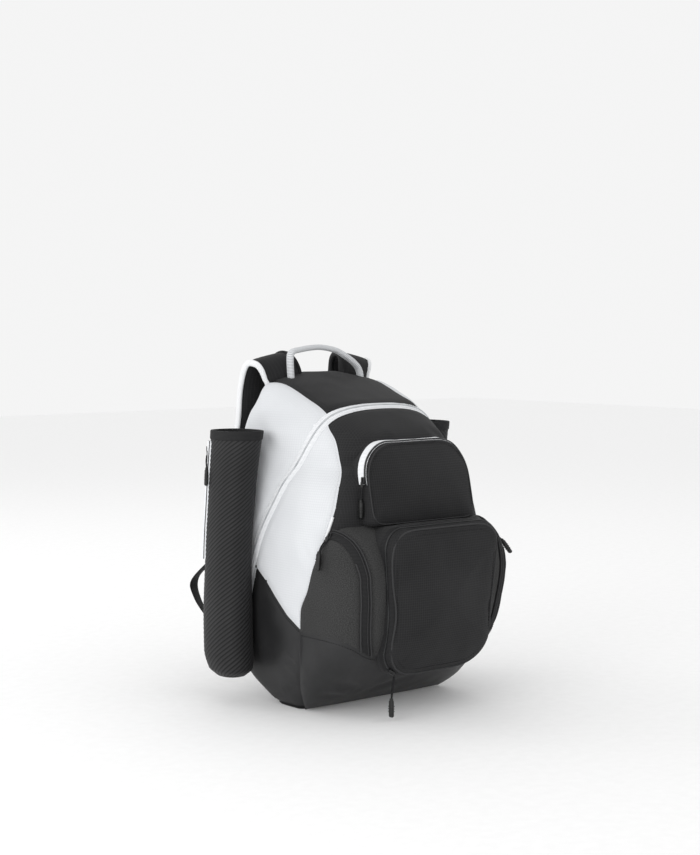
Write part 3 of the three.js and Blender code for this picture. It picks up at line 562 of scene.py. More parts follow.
# %% Settling and thickening a panel
def edge_tree(bm):
    spots = []
    for edge in bm.edges:
        if len(edge.link_faces) == 1:
            a, b = (v.co for v in edge.verts)
            for t in (0, 0.5):
                spots.append(a.lerp(b, t))
    tree = KDTree(len(spots))
    for i, spot in enumerate(spots):
        tree.insert(spot, i)
    tree.balance()
    return tree


def crease_depth(creases, x, y, z):
    """Soft folds: each is (first point, last point, depth, width) with points (x or y, z)"""
    total = 0
    for axis, start, end, depth, width in creases:
        u, v = (x, y)[axis] - start[0], z - start[1]
        a, b = end[0] - start[0], end[1] - start[1]
        t = min(max((u * a + v * b) / (a * a + b * b), 0), 1)
        gap = math.hypot(u - a * t, v - b * t) / width
        bend = math.exp(-gap * gap) - 0.55 * math.exp(-((gap - 1.7) ** 2))
        total -= depth * math.sin(math.pi * min(max(t, 0.04), 0.96)) ** 0.6 * bend
    return total


def settle(piece, dip=1.6, reach=9, swell=1.2, sag=0.8, pucker=0.35, seed=0.0, creases=()):
    """Draws a panel in at its edge and swells it between; all in millimetres"""
    bm = bmesh.new()
    bm.from_mesh(piece.data)
    bmesh.ops.remove_doubles(bm, verts=bm.verts, dist=0.05 * MM)
    bm.normal_update()
    tree = edge_tree(bm)
    moves = []
    for vert in bm.verts:
        p = vert.co
        gap = tree.find(p)[2] / MM
        t = min(gap / reach, 1)
        rise = t * t * (3 - 2 * t)
        broad = min(gap / 45, 1)
        move = -dip * (1 - rise) + swell * broad * (2 - broad)
        move += sag * rise * noise.noise(p * 16 + Vector((seed, 0, 0)))
        move += 0.4 * sag * rise * noise.noise(p * 42 + Vector((0, seed, 0)))
        fade = max(0, 1 - gap / 22) * rise
        move += pucker * fade * 2 * noise.noise(Vector((p.x * 75, p.y * 75, p.z * 75)))
        move += rise * crease_depth(creases, *(p / MM))
        moves.append(vert.normal * (move * MM))
    for vert, move in zip(bm.verts, moves):
        vert.co += move
    bm.to_mesh(piece.data)
    bm.free()


def lay_cloth(piece):
    """Lays the cloth's UV map in metres, flat against the way that each face looks"""
    mesh = piece.data
    layer = mesh.uv_layers.get("cloth") or mesh.uv_layers.new(name="cloth")
    for polygon in mesh.polygons:
        n = [abs(c) for c in polygon.normal]
        axes = (1, 2) if n[0] >= max(n[1], n[2]) else (0, 2) if n[1] >= n[2] else (0, 1)
        for loop in polygon.loop_indices:
            co = mesh.vertices[mesh.loops[loop].vertex_index].co
            layer.data[loop].uv = (co[axes[0]], co[axes[1]])


def apply_modifier(piece, kind, **values):
    tool = piece.modifiers.new(kind.lower(), kind)
    for name, value in values.items():
        setattr(tool, name, value)
    bpy.context.view_layer.objects.active = piece
    bpy.ops.object.modifier_apply(modifier=tool.name)


def finish_piece(piece, material, node=None, thick=None, flat_uv=True, angle=50):
    """Thickness, smooth shading, cloth map, material, and its tie to the frame"""
    bpy.ops.object.select_all(action="DESELECT")
    piece.select_set(True)
    bpy.context.view_layer.objects.active = piece
    if thick:
        apply_modifier(piece, "SOLIDIFY", thickness=thick * MM, offset=-1, use_even_offset=False)
    bpy.ops.object.shade_smooth_by_angle(angle=math.radians(angle))
    piece.select_set(False)
    if flat_uv:
        lay_cloth(piece)
    piece.data.materials.clear()
    piece.data.materials.append(material)
    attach(piece, "root")
    if node:
        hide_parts(*([node] if isinstance(node, str) else node))
    return piece


def trace(piece, field, near=None):
    """Points and normals, in order, along each line of a piece where the field is nought"""
    bm = bmesh.new()
    bm.from_mesh(piece.data)
    bm.normal_update()
    bm.edges.index_update()
    value = [field(*(v.co / MM)) for v in bm.verts]
    spots, links = {}, {}
    for e in bm.edges:
        a, b = e.verts
        va, vb = value[a.index], value[b.index]
        if (va < 0) != (vb < 0) and (near is None or near(*(a.co / MM))):
            t = va / (va - vb)
            spots[e.index] = (np.array(a.co.lerp(b.co, t)) / MM, np.array(a.normal.lerp(b.normal, t)))
            links[e.index] = []
    for face in bm.faces:
        ends = [e.index for e in face.edges if e.index in spots]
        if len(ends) == 2:
            links[ends[0]].append(ends[1])
            links[ends[1]].append(ends[0])
    bm.free()
    left, lines = dict.fromkeys(spots), []
    while left:
        at = next((e for e in left if sum(n in left for n in links[e]) <= 1), next(iter(left)))
        line, first, last = [], at, at
        while at is not None:
            line.append(spots[at])
            del left[at]
            last, at = at, next((n for n in links[at] if n in left), None)
        loop = first in links[last] and len(line) > 5
        if len(line) > 5:
            if loop:
                line.append(line[0])
            lines.append((np.array([q for q, _ in line]), np.array([n for _, n in line])))
    return sorted(lines, key=lambda pair: -len(pair[0]))


def edge_gap(piece):
    """How far a point lies from the open edge of a piece, in millimetres"""
    bm = bmesh.new()
    bm.from_mesh(piece.data)
    bmesh.ops.remove_doubles(bm, verts=bm.verts, dist=0.05 * MM)
    tree = edge_tree(bm)
    bm.free()
    return lambda x, y, z: tree.find(Vector((x, y, z)) * MM)[2] / MM


def laid_on(piece, ring):
    """The ring's points brought onto a piece, with the piece's normals there, as trace gives them"""
    bm = bmesh.new()
    bm.from_mesh(piece.data)
    tree = BVHTree.FromBMesh(bm)
    hits = [tree.find_nearest(Vector(p) * MM) for p in ring]
    bm.free()
    points = np.array([np.array(h[0]) / MM for h in hits])
    normals = np.array([np.array(h[1]) for h in hits])
    for _ in range(3):
        for row in (points, normals):
            row[1:-1] = np.array([row[max(i - 4, 0):i + 5].mean(axis=0) for i in range(1, len(row) - 1)])
    return points, normals / np.linalg.norm(normals, axis=1)[:, None]


def puff(piece, held, pressure=4.0, slack=0.012, cap=4.0, frames=20):
    """Blows a skin out with Blender's cloth from the points that are held, and caps how far it goes"""
    group = piece.vertex_groups.new(name="held")
    group.add([v.index for v in piece.data.vertices if held(*(v.co / MM))], 1, "REPLACE")
    tool = piece.modifiers.new("cloth", "CLOTH")
    tool.settings.vertex_group_mass = "held"
    tool.settings.use_pressure = True
    tool.settings.uniform_pressure_force = pressure
    tool.settings.shrink_min = -slack
    tool.settings.effector_weights.gravity = 0
    tool.point_cache.frame_end = frames
    for number in range(1, frames + 1):
        bpy.context.scene.frame_set(number)
    blown = piece.evaluated_get(bpy.context.evaluated_depsgraph_get()).data
    moves = [Vector(b.co) - v.co for v, b in zip(piece.data.vertices, blown.vertices)]
    for vert, move in zip(piece.data.vertices, moves):
        vert.co += move * min(1, cap * MM / max(move.length, 1e-9))
    piece.modifiers.remove(tool)
    piece.vertex_groups.clear()
    bpy.context.scene.frame_set(1)
    far = max(move.length for move in moves) / MM
    print(f"{piece.name} blown by up to {far:.1f} mm, kept to {cap} mm")


threads = {"white": [], "black": []}
pipings = []


def stitch(colour, line, length=3.0, gap=1.3, proud=0.25, radius=0.42):
    """Lays a row of stitches along a line of points with normals"""
    points, normals = line
    run = np.concatenate([[0], np.cumsum(np.linalg.norm(np.diff(points, axis=0), axis=1))])
    for start in np.arange(gap, run[-1] - length, length + gap):
        ends = []
        for at in (start, start + length):
            spot = np.array([np.interp(at, run, points[:, i]) for i in range(3)])
            up = np.array([np.interp(at, run, normals[:, i]) for i in range(3)])
            ends.append((spot, up / np.linalg.norm(up)))
        (p, up), (q, _) = ends
        along = (q - p) / np.linalg.norm(q - p)
        across = np.cross(along, up)
        rise = up * (proud + radius * 0.4)
        ring = [across * radius, up * radius, -across * radius, -up * radius]
        threads[colour].append([p - up * 0.3] + [p + rise + along * 0.4 + r for r in ring]
                               + [q + rise - along * 0.4 + r for r in ring] + [q - up * 0.3])


PANEL_CLOTH = {
    "front_panel": (ripstop_black, "black_cloth"), "top_panel": (ripstop_black, "black_cloth"),
    "side_panel_left": (ripstop_white, "white_cloth"), "side_panel_right": (ripstop_white, "white_cloth"),
    "base_side_left": (coated_base, "coated_cloth"), "base_side_right": (coated_base, "coated_cloth"),
    "main_zip": (tape_white, "white_tape"),
}
PANEL_CREASES = {
    "front_panel": [(0, (-118, 350), (-36, 392), 3.2, 6), (0, (-116, 336), (-70, 352), 2.2, 5),
                    (0, (-96, 378), (-60, 392), 1.8, 5), (0, (52, 400), (104, 368), 2.4, 6)],
    "side_panel_left": [(1, (70, 420), (20, 370), 1.6, 9), (1, (-60, 250), (-92, 205), 1.6, 8)],
    "base_side_left": [(1, (-50, 36), (-8, 28), 1.4, 5), (1, (-52, 60), (-20, 78), 1.4, 5)],
}
zip_middles = {}
for number, (name, (material, slot)) in enumerate(PANEL_CLOTH.items()):
    piece = panels[name]
    piece.name = name + "_skin"
    if name == "main_zip":
        settle(piece, dip=1.3, reach=3.5, swell=0.2, sag=0.2, pucker=0.1)
        zip_middles[name] = trace(piece, lambda x, y, z: zip_line(y, z))[0]
        for gap in (-5.6, 5.6):
            for line in trace(piece, lambda x, y, z: zip_line(y, z) - gap)[:1]:
                stitch("white", line)
    else:
        settle(piece, seed=3.7 * number, sag=1.0 if "side_panel" in name else 0.8,
               creases=PANEL_CREASES.get(name, ()))
    if "side_panel" in name:
        for line in trace(piece, lambda x, y, z: behind_seam(x, y, z) - 4)[:1]:
            stitch("white", line)
        seam = trace(piece, lambda x, y, z: behind_seam(x, y, z) - 0.8, lambda x, y, z: z > 150)[:1]
        pipings += [(f"{name}_edge", line, 2.0, edge_white, "white_tape") for line in seam]
    if "base_side" in name:
        for line in trace(piece, lambda x, y, z: over_foot(x, y, z) + 4)[:1]:
            stitch("black", line)
        seam = trace(piece, lambda x, y, z: behind_seam(x, y, z) - 0.8, lambda x, y, z: z < 130)[:1]
        pipings += [(f"{name}_edge", line, 1.3, piping_black, "black_tape") for line in seam]
    finish_piece(piece, material, name, thick=2.2)
for name in ("base_panel", "back_panel"):
    piece = panels[name]
    piece.name = name + "_skin"
    if name == "back_panel":
        edge = edge_gap(piece)
        puff(piece, lambda x, y, z: edge(x, y, z) < 3, cap=5)
        settle(piece, dip=3, reach=16, swell=1, sag=0.5, seed=9)
    finish_piece(piece, air_mesh if name == "back_panel" else coated_base, name, thick=2.6)
print("panels sewn:", len(PANEL_CLOTH) + 2)

# %% [markdown]
# ## The lower front
# Below the waist the front swells into side pockets of heathered cloth over a coated foot. Their zips lie
# under a dark flap that follows the pocket's edge.

# %% Lower front
half_width, reach, corner = columns_of(LOWER_LEVELS)
rings = []
for z in np.concatenate([np.linspace(0, 30, 9)[:-1], np.linspace(30, 240, 56)[:-1],
                         np.linspace(240, LOWER_HEIGHT * 1.012, 16)]):
    h = z / LOWER_HEIGHT
    middle = front_seam_y(z)
    rings.append(outline(half_width(h) * LOWER_HALF_WIDTH, -reach(h) * LOWER_REACH, middle + 32, middle,
                         corner(h), z, 230))
lower_skin = loft("lower_skin", rings, caps=(False, True))
side_zip = side_of(spline([(a * SIDE_ZIP_PLACE, b * LOWER_HEIGHT) for a, b in SIDE_ZIP_LINE]))
front_foot_z = smooth_column([a * LOWER_HALF_WIDTH for a, _ in FRONT_FOOT_SEAM],
                             [b * LOWER_HEIGHT for _, b in FRONT_FOOT_SEAM])


def from_side_zip(x, y, z):
    return abs(side_zip(abs(x), z)) - SIDE_ZIP_HALF


def above_foot(x, y, z):
    return z - front_foot_z(abs(x))


cut(lower_skin, (behind_seam, None), (above_foot, None), (from_side_zip, lambda x, y, z: z > 80))


def lower_panel(x, y, z):
    side = "left" if x < 0 else "right"
    if behind_seam(x, y, z) > -0.01:
        return None
    if above_foot(x, y, z) < 0:
        return "base_front"
    if from_side_zip(x, y, z) < 0:
        return f"side_pocket_zip_{side}"
    return f"side_pocket_{side}" if side_zip(abs(x), z) < 0 else "pocket_surround"


panels = sort_panels(lower_skin, lower_panel)
LOWER_CLOTH = {
    "base_front": (coated_base, "coated_cloth"), "pocket_surround": (heather_grey, "grey_cloth"),
    "side_pocket_left": (heather_grey, "grey_cloth"), "side_pocket_right": (heather_grey, "grey_cloth"),
    "side_pocket_zip_left": (binding_black, "black_tape"),
    "side_pocket_zip_right": (binding_black, "black_tape"),
}
LOWER_CREASES = {
    "base_front": [(0, (-128, 52), (-84, 34), 2.4, 6), (0, (-132, 30), (-96, 24), 1.8, 5),
                   (0, (-60, 30), (10, 44), 1.6, 6), (0, (96, 58), (128, 36), 2, 5)],
    "side_pocket_left": [(0, (-156, 216), (-140, 190), 1.0, 6)],
}
for number, (name, (material, slot)) in enumerate(LOWER_CLOTH.items()):
    piece = panels[name]
    piece.name = name + "_skin"
    if "zip" in name:
        settle(piece, dip=0.6, reach=3, swell=0.9, sag=0.2, pucker=0.1)
        for gap, radius in ((-6.6, 1.3), (6.4, 1.3), (2.2, 0.6)):
            line = trace(piece, lambda x, y, z: side_zip(abs(x), z) - gap)[0]
            pipings.append((f"{name}_piping_{len(pipings)}", line, radius, piping_black, "black_tape"))
    else:
        settle(piece, seed=2.3 * number + 40, sag=1.2 if name == "base_front" else 0.9,
               creases=LOWER_CREASES.get(name, ()))
    if name == "base_front":
        stitch("black", trace(piece, lambda x, y, z: above_foot(x, y, z) + 4)[0])
    finish_piece(piece, material, name, thick=2.2)
print("lower front:", sorted(panels, key=str))

# %% [markdown]
# ## Front pockets
# Each pocket is a box of cloth with rounded corners: a gusset that stands off the bag, a zip round it, and
# a face that swells. Rings run out from the bag, turn over the edge and close in on the face. Each row of the
# profile says how far out a ring lies, how far it draws in, and what it adds. The zip sits in a shallow dip.

# %% Big pocket and top pocket
BIG = dict(half=104, bottom=60, height=213, reach=203, low_r=40, top_r=30, lean_foot=28, lean_top=0,
           narrow=0.18)
TOP = dict(half=99, bottom=273.6, height=116, reach=157, low_r=8, top_r=50, lean_foot=0, lean_top=24,
           narrow=0)
PROFILE = [
    (0.6, 0, 0), (0.66, 0, 0), (0.72, 0, 0), (0.78, 0, -0.6), (0.82, 0, -1.8), (0.85, 0, -2.2),
    (0.865, 0, -1.9), (0.88, 0, -1.4), (0.895, 0, -0.9), (0.91, 0, -0.4), (0.925, 0, 0), (0.94, 0, 0.6),
    (0.95, 0.01, 0), (0.957, 0.02, 0), (0.963, 0.035, 0), (0.969, 0.06, 0), (0.976, 0.09, 0),
    (0.983, 0.13, 0), (0.989, 0.18, 0), (0.995, 0.25, 0), (1, 0.33, 0), (1.003, 0.41, 0), (1.004, 0.46, 0),
]
ZIP_FROM, ZIP_TO = 0.85, 0.94


def pocket_ring(form, inset, y, count=240):
    low = max(form["low_r"] - inset / 2, 6)
    top = max(form["top_r"] - inset / 2, 6)
    half, z0 = form["half"] - inset, form["bottom"] + inset
    z1 = form["bottom"] + form["height"] - inset
    low, top = min(low, (z1 - z0) / 2.02, half), min(top, (z1 - z0) / 2.02, half)
    ring = []
    for x, z, radius, start in ((half - low, z0 + low, low, -90), (half - top, z1 - top, top, 0),
                                (top - half, z1 - top, top, 90), (low - half, z0 + low, low, 180)):
        for angle in np.radians(np.linspace(start, start + 90, 24)):
            ring.append((x + radius * math.cos(angle), y, z + radius * math.sin(angle)))
    ring = np.array([(0, y, z0)] + ring)
    lean, foot = pocket_lean(form, ring[:, 2])
    ring[:, 1] += lean
    ring[:, 0] *= 1 - form["narrow"] * foot
    return even_ring(ring, count)


def pocket_lean(form, z):
    up = (z - form["bottom"]) / form["height"]
    foot = np.maximum(0, 1 - 2 * up) ** 2
    return form["lean_foot"] * foot + form["lean_top"] * np.maximum(0, up), foot


def pocket_share(form):
    """How far out a point lies, as a share of the pocket's reach"""
    return lambda x, y, z: (pocket_lean(form, z)[0] - y) / form["reach"]


def cover(piece, form, seed):
    """Calm unevenness of a pocket, less towards its edge"""
    bm = bmesh.new()
    bm.from_mesh(piece.data)
    bm.normal_update()
    middle = form["bottom"] + form["height"] / 2
    moves = []
    for vert in bm.verts:
        x, y, z = vert.co / MM
        edge = min(form["half"] - abs(x), form["height"] / 2 - abs(z - middle))
        t = min(max(edge / 18, 0), 1)
        move = 1.4 * t * noise.noise(vert.co * 17 + Vector((seed, 0, 0)))
        move += (0.4 + 0.5 * t) * noise.noise(vert.co * 40 + Vector((0, seed, 0)))
        move += crease_depth(form["creases"], x, y, z) * (y < -form["reach"] * 0.9)
        moves.append(vert.normal * (move * MM))
    for vert, move in zip(bm.verts, moves):
        vert.co += move
    bm.to_mesh(piece.data)
    bm.free()


def make_pocket(name, form, seed, tape, low):
    rings = [pocket_ring(form, inset * form["height"] + extra, -share * form["reach"])
             for share, inset, extra in PROFILE]
    skin = loft(name + "_form", rings, caps=(False, True))
    share = pocket_share(form)
    cover(skin, form, seed)
    cut(skin, (lambda x, y, z: z - low, lambda x, y, z: ZIP_FROM - 0.02 < share(x, y, z) < ZIP_TO + 0.02))

    def belongs(x, y, z):
        return "zip" if ZIP_FROM < share(x, y, z) < ZIP_TO and z > low else "cloth"
    parts = sort_panels(skin, belongs)
    cloth, zip_band = parts["cloth"], parts["zip"]
    cloth.name, zip_band.name = f"{name}_skin", f"{name}_zip_tape"
    settle(cloth, dip=0.7, reach=5, swell=0, sag=0, pucker=0.5, seed=seed)
    settle(zip_band, dip=0.5, reach=2.5, swell=0, sag=0.2, pucker=0.1, seed=seed)
    zip_middles[name] = trace(zip_band, lambda x, y, z: share(x, y, z) - form["coil"])[0]
    for at, inset, radius in form["piping"]:
        ring = pocket_ring(form, inset, -at * form["reach"])
        line = laid_on(cloth, np.vstack([ring, ring[:1]]))
        pipings.append((f"{name}_piping_{len(pipings)}", line, radius, piping_black, "black_tape"))
    ring = pocket_ring(form, 0.045 * form["height"], -0.967 * form["reach"])
    stitch("black", laid_on(cloth, np.vstack([ring, ring[:1]])))
    finish_piece(cloth, ripstop_black, name, thick=2)
    finish_piece(zip_band, tape, f"{name}_zip", thick=1.2)


BIG.update(coil=0.9, piping=((0.952, 2.4, 1.5), (0.8, -1.2, 1.3)),
           creases=[(0, (-80, 92), (-52, 76), 1.4, 4), (0, (-90, 120), (-66, 84), 1.0, 4)])
TOP.update(coil=0.928, piping=((0.957, 2.4, 1.0),),
           creases=[(0, (-84, 300), (-60, 330), 1.2, 5), (0, (60, 372), (84, 350), 1.2, 5)])
make_pocket("big_pocket", BIG, 5.0, binding_black, 68)
make_pocket("top_pocket", TOP, 11.0, tape_white, 331.6)
print("pockets made")

# %% [markdown]
# ## Sleeves
# A bat sleeve is a long tube of embossed cloth, closed at the foot and open at the top with a bound hem.
# Slanting ribs are pressed into the cloth, so they are modelled as relief, and painted shade darkens their
# grooves.

# %% Sleeves
SLEEVE = dict(top=403, floor=42, out=187, back=75, half_width=30, half_depth=40)
SLEEVE_LEVELS = [
    (0, 0.99, 0.93, 0.6, 0.55), (0.03, 0.99, 0.95, 0.9, 0.9), (0.1, 1, 0.98, 1, 1), (0.25, 1, 1, 0.99, 1),
    (0.5, 1, 0.97, 0.95, 0.93), (0.75, 1, 0.85, 0.97, 0.94), (1, 0.985, 0.72, 1.05, 1.03),
]
sleeve_columns = columns_of(SLEEVE_LEVELS)


def sleeve_ring(side, z, proud, count):
    h = (z - SLEEVE["floor"]) / (SLEEVE["top"] - SLEEVE["floor"])
    out, back, wide, deep = (column(h) for column in sleeve_columns)
    y = back * SLEEVE["back"]
    deep = deep * SLEEVE["half_depth"] + proud
    return outline(wide * SLEEVE["half_width"] + proud, y - deep, y + deep, y, 2.4, z, count,
                   x=side * out * SLEEVE["out"])


RIB_SLOPE, RIB_PITCH = 0.8, 6.6


def make_sleeve(side, name):
    girth = np.linalg.norm(np.diff(sleeve_ring(side, 200, 0, 200), axis=0), axis=1).sum()
    full_turn = round(girth * RIB_SLOPE / RIB_PITCH) * side
    full_run = abs(full_turn) * RIB_PITCH / RIB_SLOPE
    heights = np.concatenate([42 + 20 * (1 - np.cos(np.linspace(0, math.pi / 2, 20)))[:-1],
                              np.linspace(62, 393, 220)])
    count = 150
    rings, phases = [], []
    for z in heights:
        ring = sleeve_ring(side, z, 0, count)
        run = np.linspace(0, 1, count, endpoint=False) * full_run
        phase = (side * run * RIB_SLOPE + z) / RIB_PITCH
        phases.append(phase)
        rib = np.abs(np.sin(np.pi * phase)) ** 0.7
        middle = ring.mean(axis=0)
        way = ring - middle
        way[:, 2] = 0
        way /= np.linalg.norm(way, axis=1)[:, None]
        fade = min(1, (z - 42) / 20)
        rings.append(ring + way * ((rib - 0.6) * 1.1 * fade)[:, None])
    piece = loft(f"sleeve_{name}_skin", rings, caps=(True, False))
    ribs = piece.data.uv_layers.new(name="ribs")
    flat = np.concatenate(phases)
    for polygon in piece.data.polygons:
        spots = [piece.data.loops[i].vertex_index for i in polygon.loop_indices]
        wraps = len(spots) == 4 and max(v % count for v in spots) - min(v % count for v in spots) > 5
        for loop, v in zip(polygon.loop_indices, spots):
            turn = full_turn if wraps and v % count == 0 else 0
            ribs.data[loop].uv = (flat[v] + turn + 0.5, 0)
    finish_piece(piece, ribbed_cloth, f"sleeve_{name}", thick=2)
    hem = [sleeve_ring(side, z, proud, 120) for z, proud in
           ((390, 0), (390, 1.1), (391.5, 1.5), (401.5, 1.5), (403, 0.9), (403, -2.2), (401.5, -2.8),
            (391.5, -2.6), (390, -2.2))]
    hem_piece = loft(f"sleeve_hem_{name}", hem + [hem[0]], caps=(False, False))
    finish_piece(hem_piece, binding_black)


for side, name in ((-1, "left"), (1, "right")):
    make_sleeve(side, name)
print("sleeves made")

# %% [markdown]
# ## Straps, handle and webbing
# A strap is a padded band that runs over the crown and down the back. Its edge is bound in white tape. One
# helper sweeps a rounded section along a smooth line, with its own UV map along the band.

# %% Sweeping a band
def curve_through(points, count, crowding=1.0):
    """Evenly spaced points on a smooth line through 3-D points, and the shares of its length"""
    p = np.array(points, float)
    line = spline(p, steps=40)
    run = np.concatenate([[0], np.cumsum(np.linalg.norm(np.diff(line, axis=0), axis=1))])
    shares = np.linspace(0, 1, count) ** crowding
    return np.column_stack([np.interp(shares * run[-1], run, line[:, i]) for i in range(3)]), shares, run[-1]


def sweep(name, points, section, count=24, steps=120, sideways=(1, 0, 0)):
    """section(share) gives half width, half depth, corner and roll"""
    line, shares, length = curve_through(points, steps)
    tangent = np.gradient(line, axis=0)
    tangent /= np.linalg.norm(tangent, axis=1)[:, None]
    rings = []
    for spot, along, share in zip(line, tangent, shares):
        wide, deep, corner, roll = section(share)
        across = np.array(sideways(share) if callable(sideways) else sideways, float)
        across -= along * across.dot(along)
        across /= np.linalg.norm(across)
        outward = np.cross(along, across)
        across, outward = (across * math.cos(roll) + outward * math.sin(roll),
                           outward * math.cos(roll) - across * math.sin(roll))
        angle = np.linspace(0, 2 * math.pi, count, endpoint=False)
        c, s = np.cos(angle), np.sin(angle)
        r = (np.abs(c) ** corner + np.abs(s) ** corner) ** (-1 / corner)
        rings.append(spot + np.outer(wide * r * c, across) + np.outer(deep * r * s, outward))
    piece = loft(name, rings, caps=(True, True))
    band_uv(piece, count, steps, length)
    return piece


def band_uv(piece, count, steps, length):
    mesh = piece.data
    layer = mesh.uv_layers.new(name="cloth")
    around = np.linalg.norm(np.array(mesh.vertices[0].co) - np.array(mesh.vertices[count // 2].co)) * 2
    for polygon in mesh.polygons:
        spots = [mesh.loops[i].vertex_index for i in polygon.loop_indices]
        wraps = max(v % count for v in spots) - min(v % count for v in spots) > count / 2
        for loop, v in zip(polygon.loop_indices, spots):
            turn = v % count + (count if wraps and v % count < count / 2 else 0)
            layer.data[loop].uv = (turn / count * around, v // count / (steps - 1) * length * MM)


# %% Straps and their binding
STRAP_PLACE, STRAP_SPREAD, STRAP_END, STRAP_CREST, STRAP_OFF = 88, 20, 222, 502, 65
STRAP_LINE = [
    (-0.9, 0.74, 0, 0.83), (-0.85, 0.75, 0, 0.92), (-0.55, 0.81, 0, 0.98), (-0.25, 0.92, 0, 1),
    (-0.05, 1.03, 0, 0.97), (0, 1.05, 0.08, 0.84), (0.15, 1.01, 0.21, 0.63), (0.5, 1, 0.48, 0.38),
    (0.85, 1, 0.8, 0.15), (1, 1, 1, 0),
]
WEBBING_LINE = [
    (0.93, 1, 0.8, 0.75), (1.75, 1, 0.96, 0.6), (1.9, 1, 0.9, 0.4), (1.75, 1, 0.62, 0.2),
    (1.45, 1, 0.25, 0.06), (1.35, 1, 0, 0),
]
STRAP_PAD_HALF, STRAP_HALF_DEPTH, BINDING_THIN, BINDING, CREST_SHARE = 30, 7, 3.2, 5, 0.36


def strap_points(side):
    return [(side * (STRAP_PLACE + out * STRAP_SPREAD), back * BODY_BACK + off * STRAP_OFF,
             STRAP_END + up * (STRAP_CREST - STRAP_END)) for out, back, off, up in STRAP_LINE]


def make_strap(side, name):
    def taper(t):
        return min(1, 0.72 + 4.5 * t)

    def roll(t):
        return side * (0.14 * max(0, 1 - 3.1 * t) + 0.16 * math.exp(-((t - 0.16) / 0.1) ** 2))
    pad = sweep(f"shoulder_strap_{name}_pad", strap_points(side),
                lambda t: (STRAP_PAD_HALF * taper(t),
                           STRAP_HALF_DEPTH * (1 - 0.12 * math.cos(2 * math.pi * t)), 2.1, roll(t)),
                count=32, steps=150)
    finish_piece(pad, padding_black, f"shoulder_strap_{name}", flat_uv=False)
    line, shares, _ = curve_through(strap_points(side), 90)
    tangent = np.gradient(line, axis=0)
    tangent /= np.linalg.norm(tangent, axis=1)[:, None]
    edges = {-1: [], 1: []}
    for spot, along, t in zip(line, tangent, shares):
        across = np.array((1.0, 0, 0)) - along * along[0]
        across /= np.linalg.norm(across)
        outward = np.cross(along, across)
        across = across * math.cos(roll(t)) + outward * math.sin(roll(t))
        for edge in edges:
            edges[edge].append((spot + across * edge * STRAP_PAD_HALF * taper(t), across, along))
    outer, inner = edges[side], edges[-side]
    crest_end = int(np.searchsorted(shares, CREST_SHARE))
    bottom, (_, last_across, last_along) = line[-1], inner[-1]
    path = [spot for spot, _, _ in outer]
    facing = [across * side for _, across, _ in outer]
    for turn in np.radians(np.linspace(0, 180, 15))[1:-1]:
        corner_way = last_across * side * math.cos(turn)
        path.append(bottom + corner_way * STRAP_PAD_HALF + last_along * 3 * math.sin(turn) ** 0.3)
        facing.append(last_across * side * math.cos(turn) ** 2 + last_along * math.sin(turn))
    path += [spot for spot, _, _ in reversed(inner[crest_end:])]
    facing += [-across * side for _, across, _ in reversed(inner[crest_end:])]
    bind(f"strap_binding_{name}_tape", path, facing, edge_white, 240, f"strap_binding_{name}")
    bind(f"strap_binding_{name}_crest", [spot for spot, _, _ in inner[:crest_end + 2]],
         [-across * side for _, across, _ in inner[:crest_end + 2]], binding_black, 80)


def turning(shares, ways):
    """The way at a share of the length, from ways known at some shares"""
    return lambda t: [np.interp(t, shares, ways[:, i]) for i in range(3)]


def bind(name, path, facing, material, steps, node=None):
    run = np.concatenate([[0], np.cumsum(np.linalg.norm(np.diff(path, axis=0), axis=1))])
    band = sweep(name, path, lambda t: (BINDING_THIN, BINDING, 2.4, 0), count=14, steps=steps,
                 sideways=turning(run / run[-1], np.array(facing)))
    finish_piece(band, material, node, flat_uv=False)


def make_webbing(side, name):
    line, _, _ = curve_through(strap_points(side), 60)
    along = (line[-1] - line[-2]) / np.linalg.norm(line[-1] - line[-2])
    points = [line[-1] + along * 20]
    for out, back, off, up in WEBBING_LINE[1:]:
        points.append(np.array((side * (STRAP_PLACE + out * STRAP_SPREAD), back * BODY_BACK + off * 127 + 1.4,
                                66 + up * (STRAP_END - 66))))
    band = sweep(f"webbing_{name}_band", points,
                 lambda t: (12.5, 1.1, 6, side * 0.55 * math.sin(math.pi * t)), count=16, steps=90)
    finish_piece(band, webbing_black, f"webbing_{name}", flat_uv=False)


for side, name in ((-1, "left"), (1, "right")):
    make_strap(side, name)
    make_webbing(side, name)
    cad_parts[f"ladder_lock_{name}"].data.materials.clear()
    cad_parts[f"ladder_lock_{name}"].data.materials.append(acetal_black)
print("straps, bindings and webbing made")

# %% Grab handle
HANDLE_LINE = [
    (-0.99, 0.6, -0.5), (-1, 0.62, 0.45), (-0.93, 0.64, 0.76), (-0.7, 0.66, 0.86), (-0.1, 0.7, 0.95),
    (0.35, 0.68, 0.84), (0.62, 0.64, 0.6), (0.85, 0.61, 0.3), (0.97, 0.6, 0), (0.98, 0.58, -0.5),
]
handle = sweep("grab_handle_band", [(out * 68, back * BODY_BACK, BODY_HEIGHT + up * 40)
                                    for out, back, up in HANDLE_LINE],
               lambda t: (6.2, 4.2, 2.6, 0), count=28, steps=140, sideways=(0, 1, 0))
finish_piece(handle, handle_white, "grab_handle", flat_uv=False)
print("handle made")

# %% [markdown]
# ## Zips and pulls
# A zip is a tape with a coil of nylon along its middle, which was traced when its tape was cut. A round bead
# of binding follows each traced seam. A pull is a slider, a cord of two strands and a moulded grip. Slider
# and grip are modelled once from bevelled boxes, and each pull gets a turned copy of both.

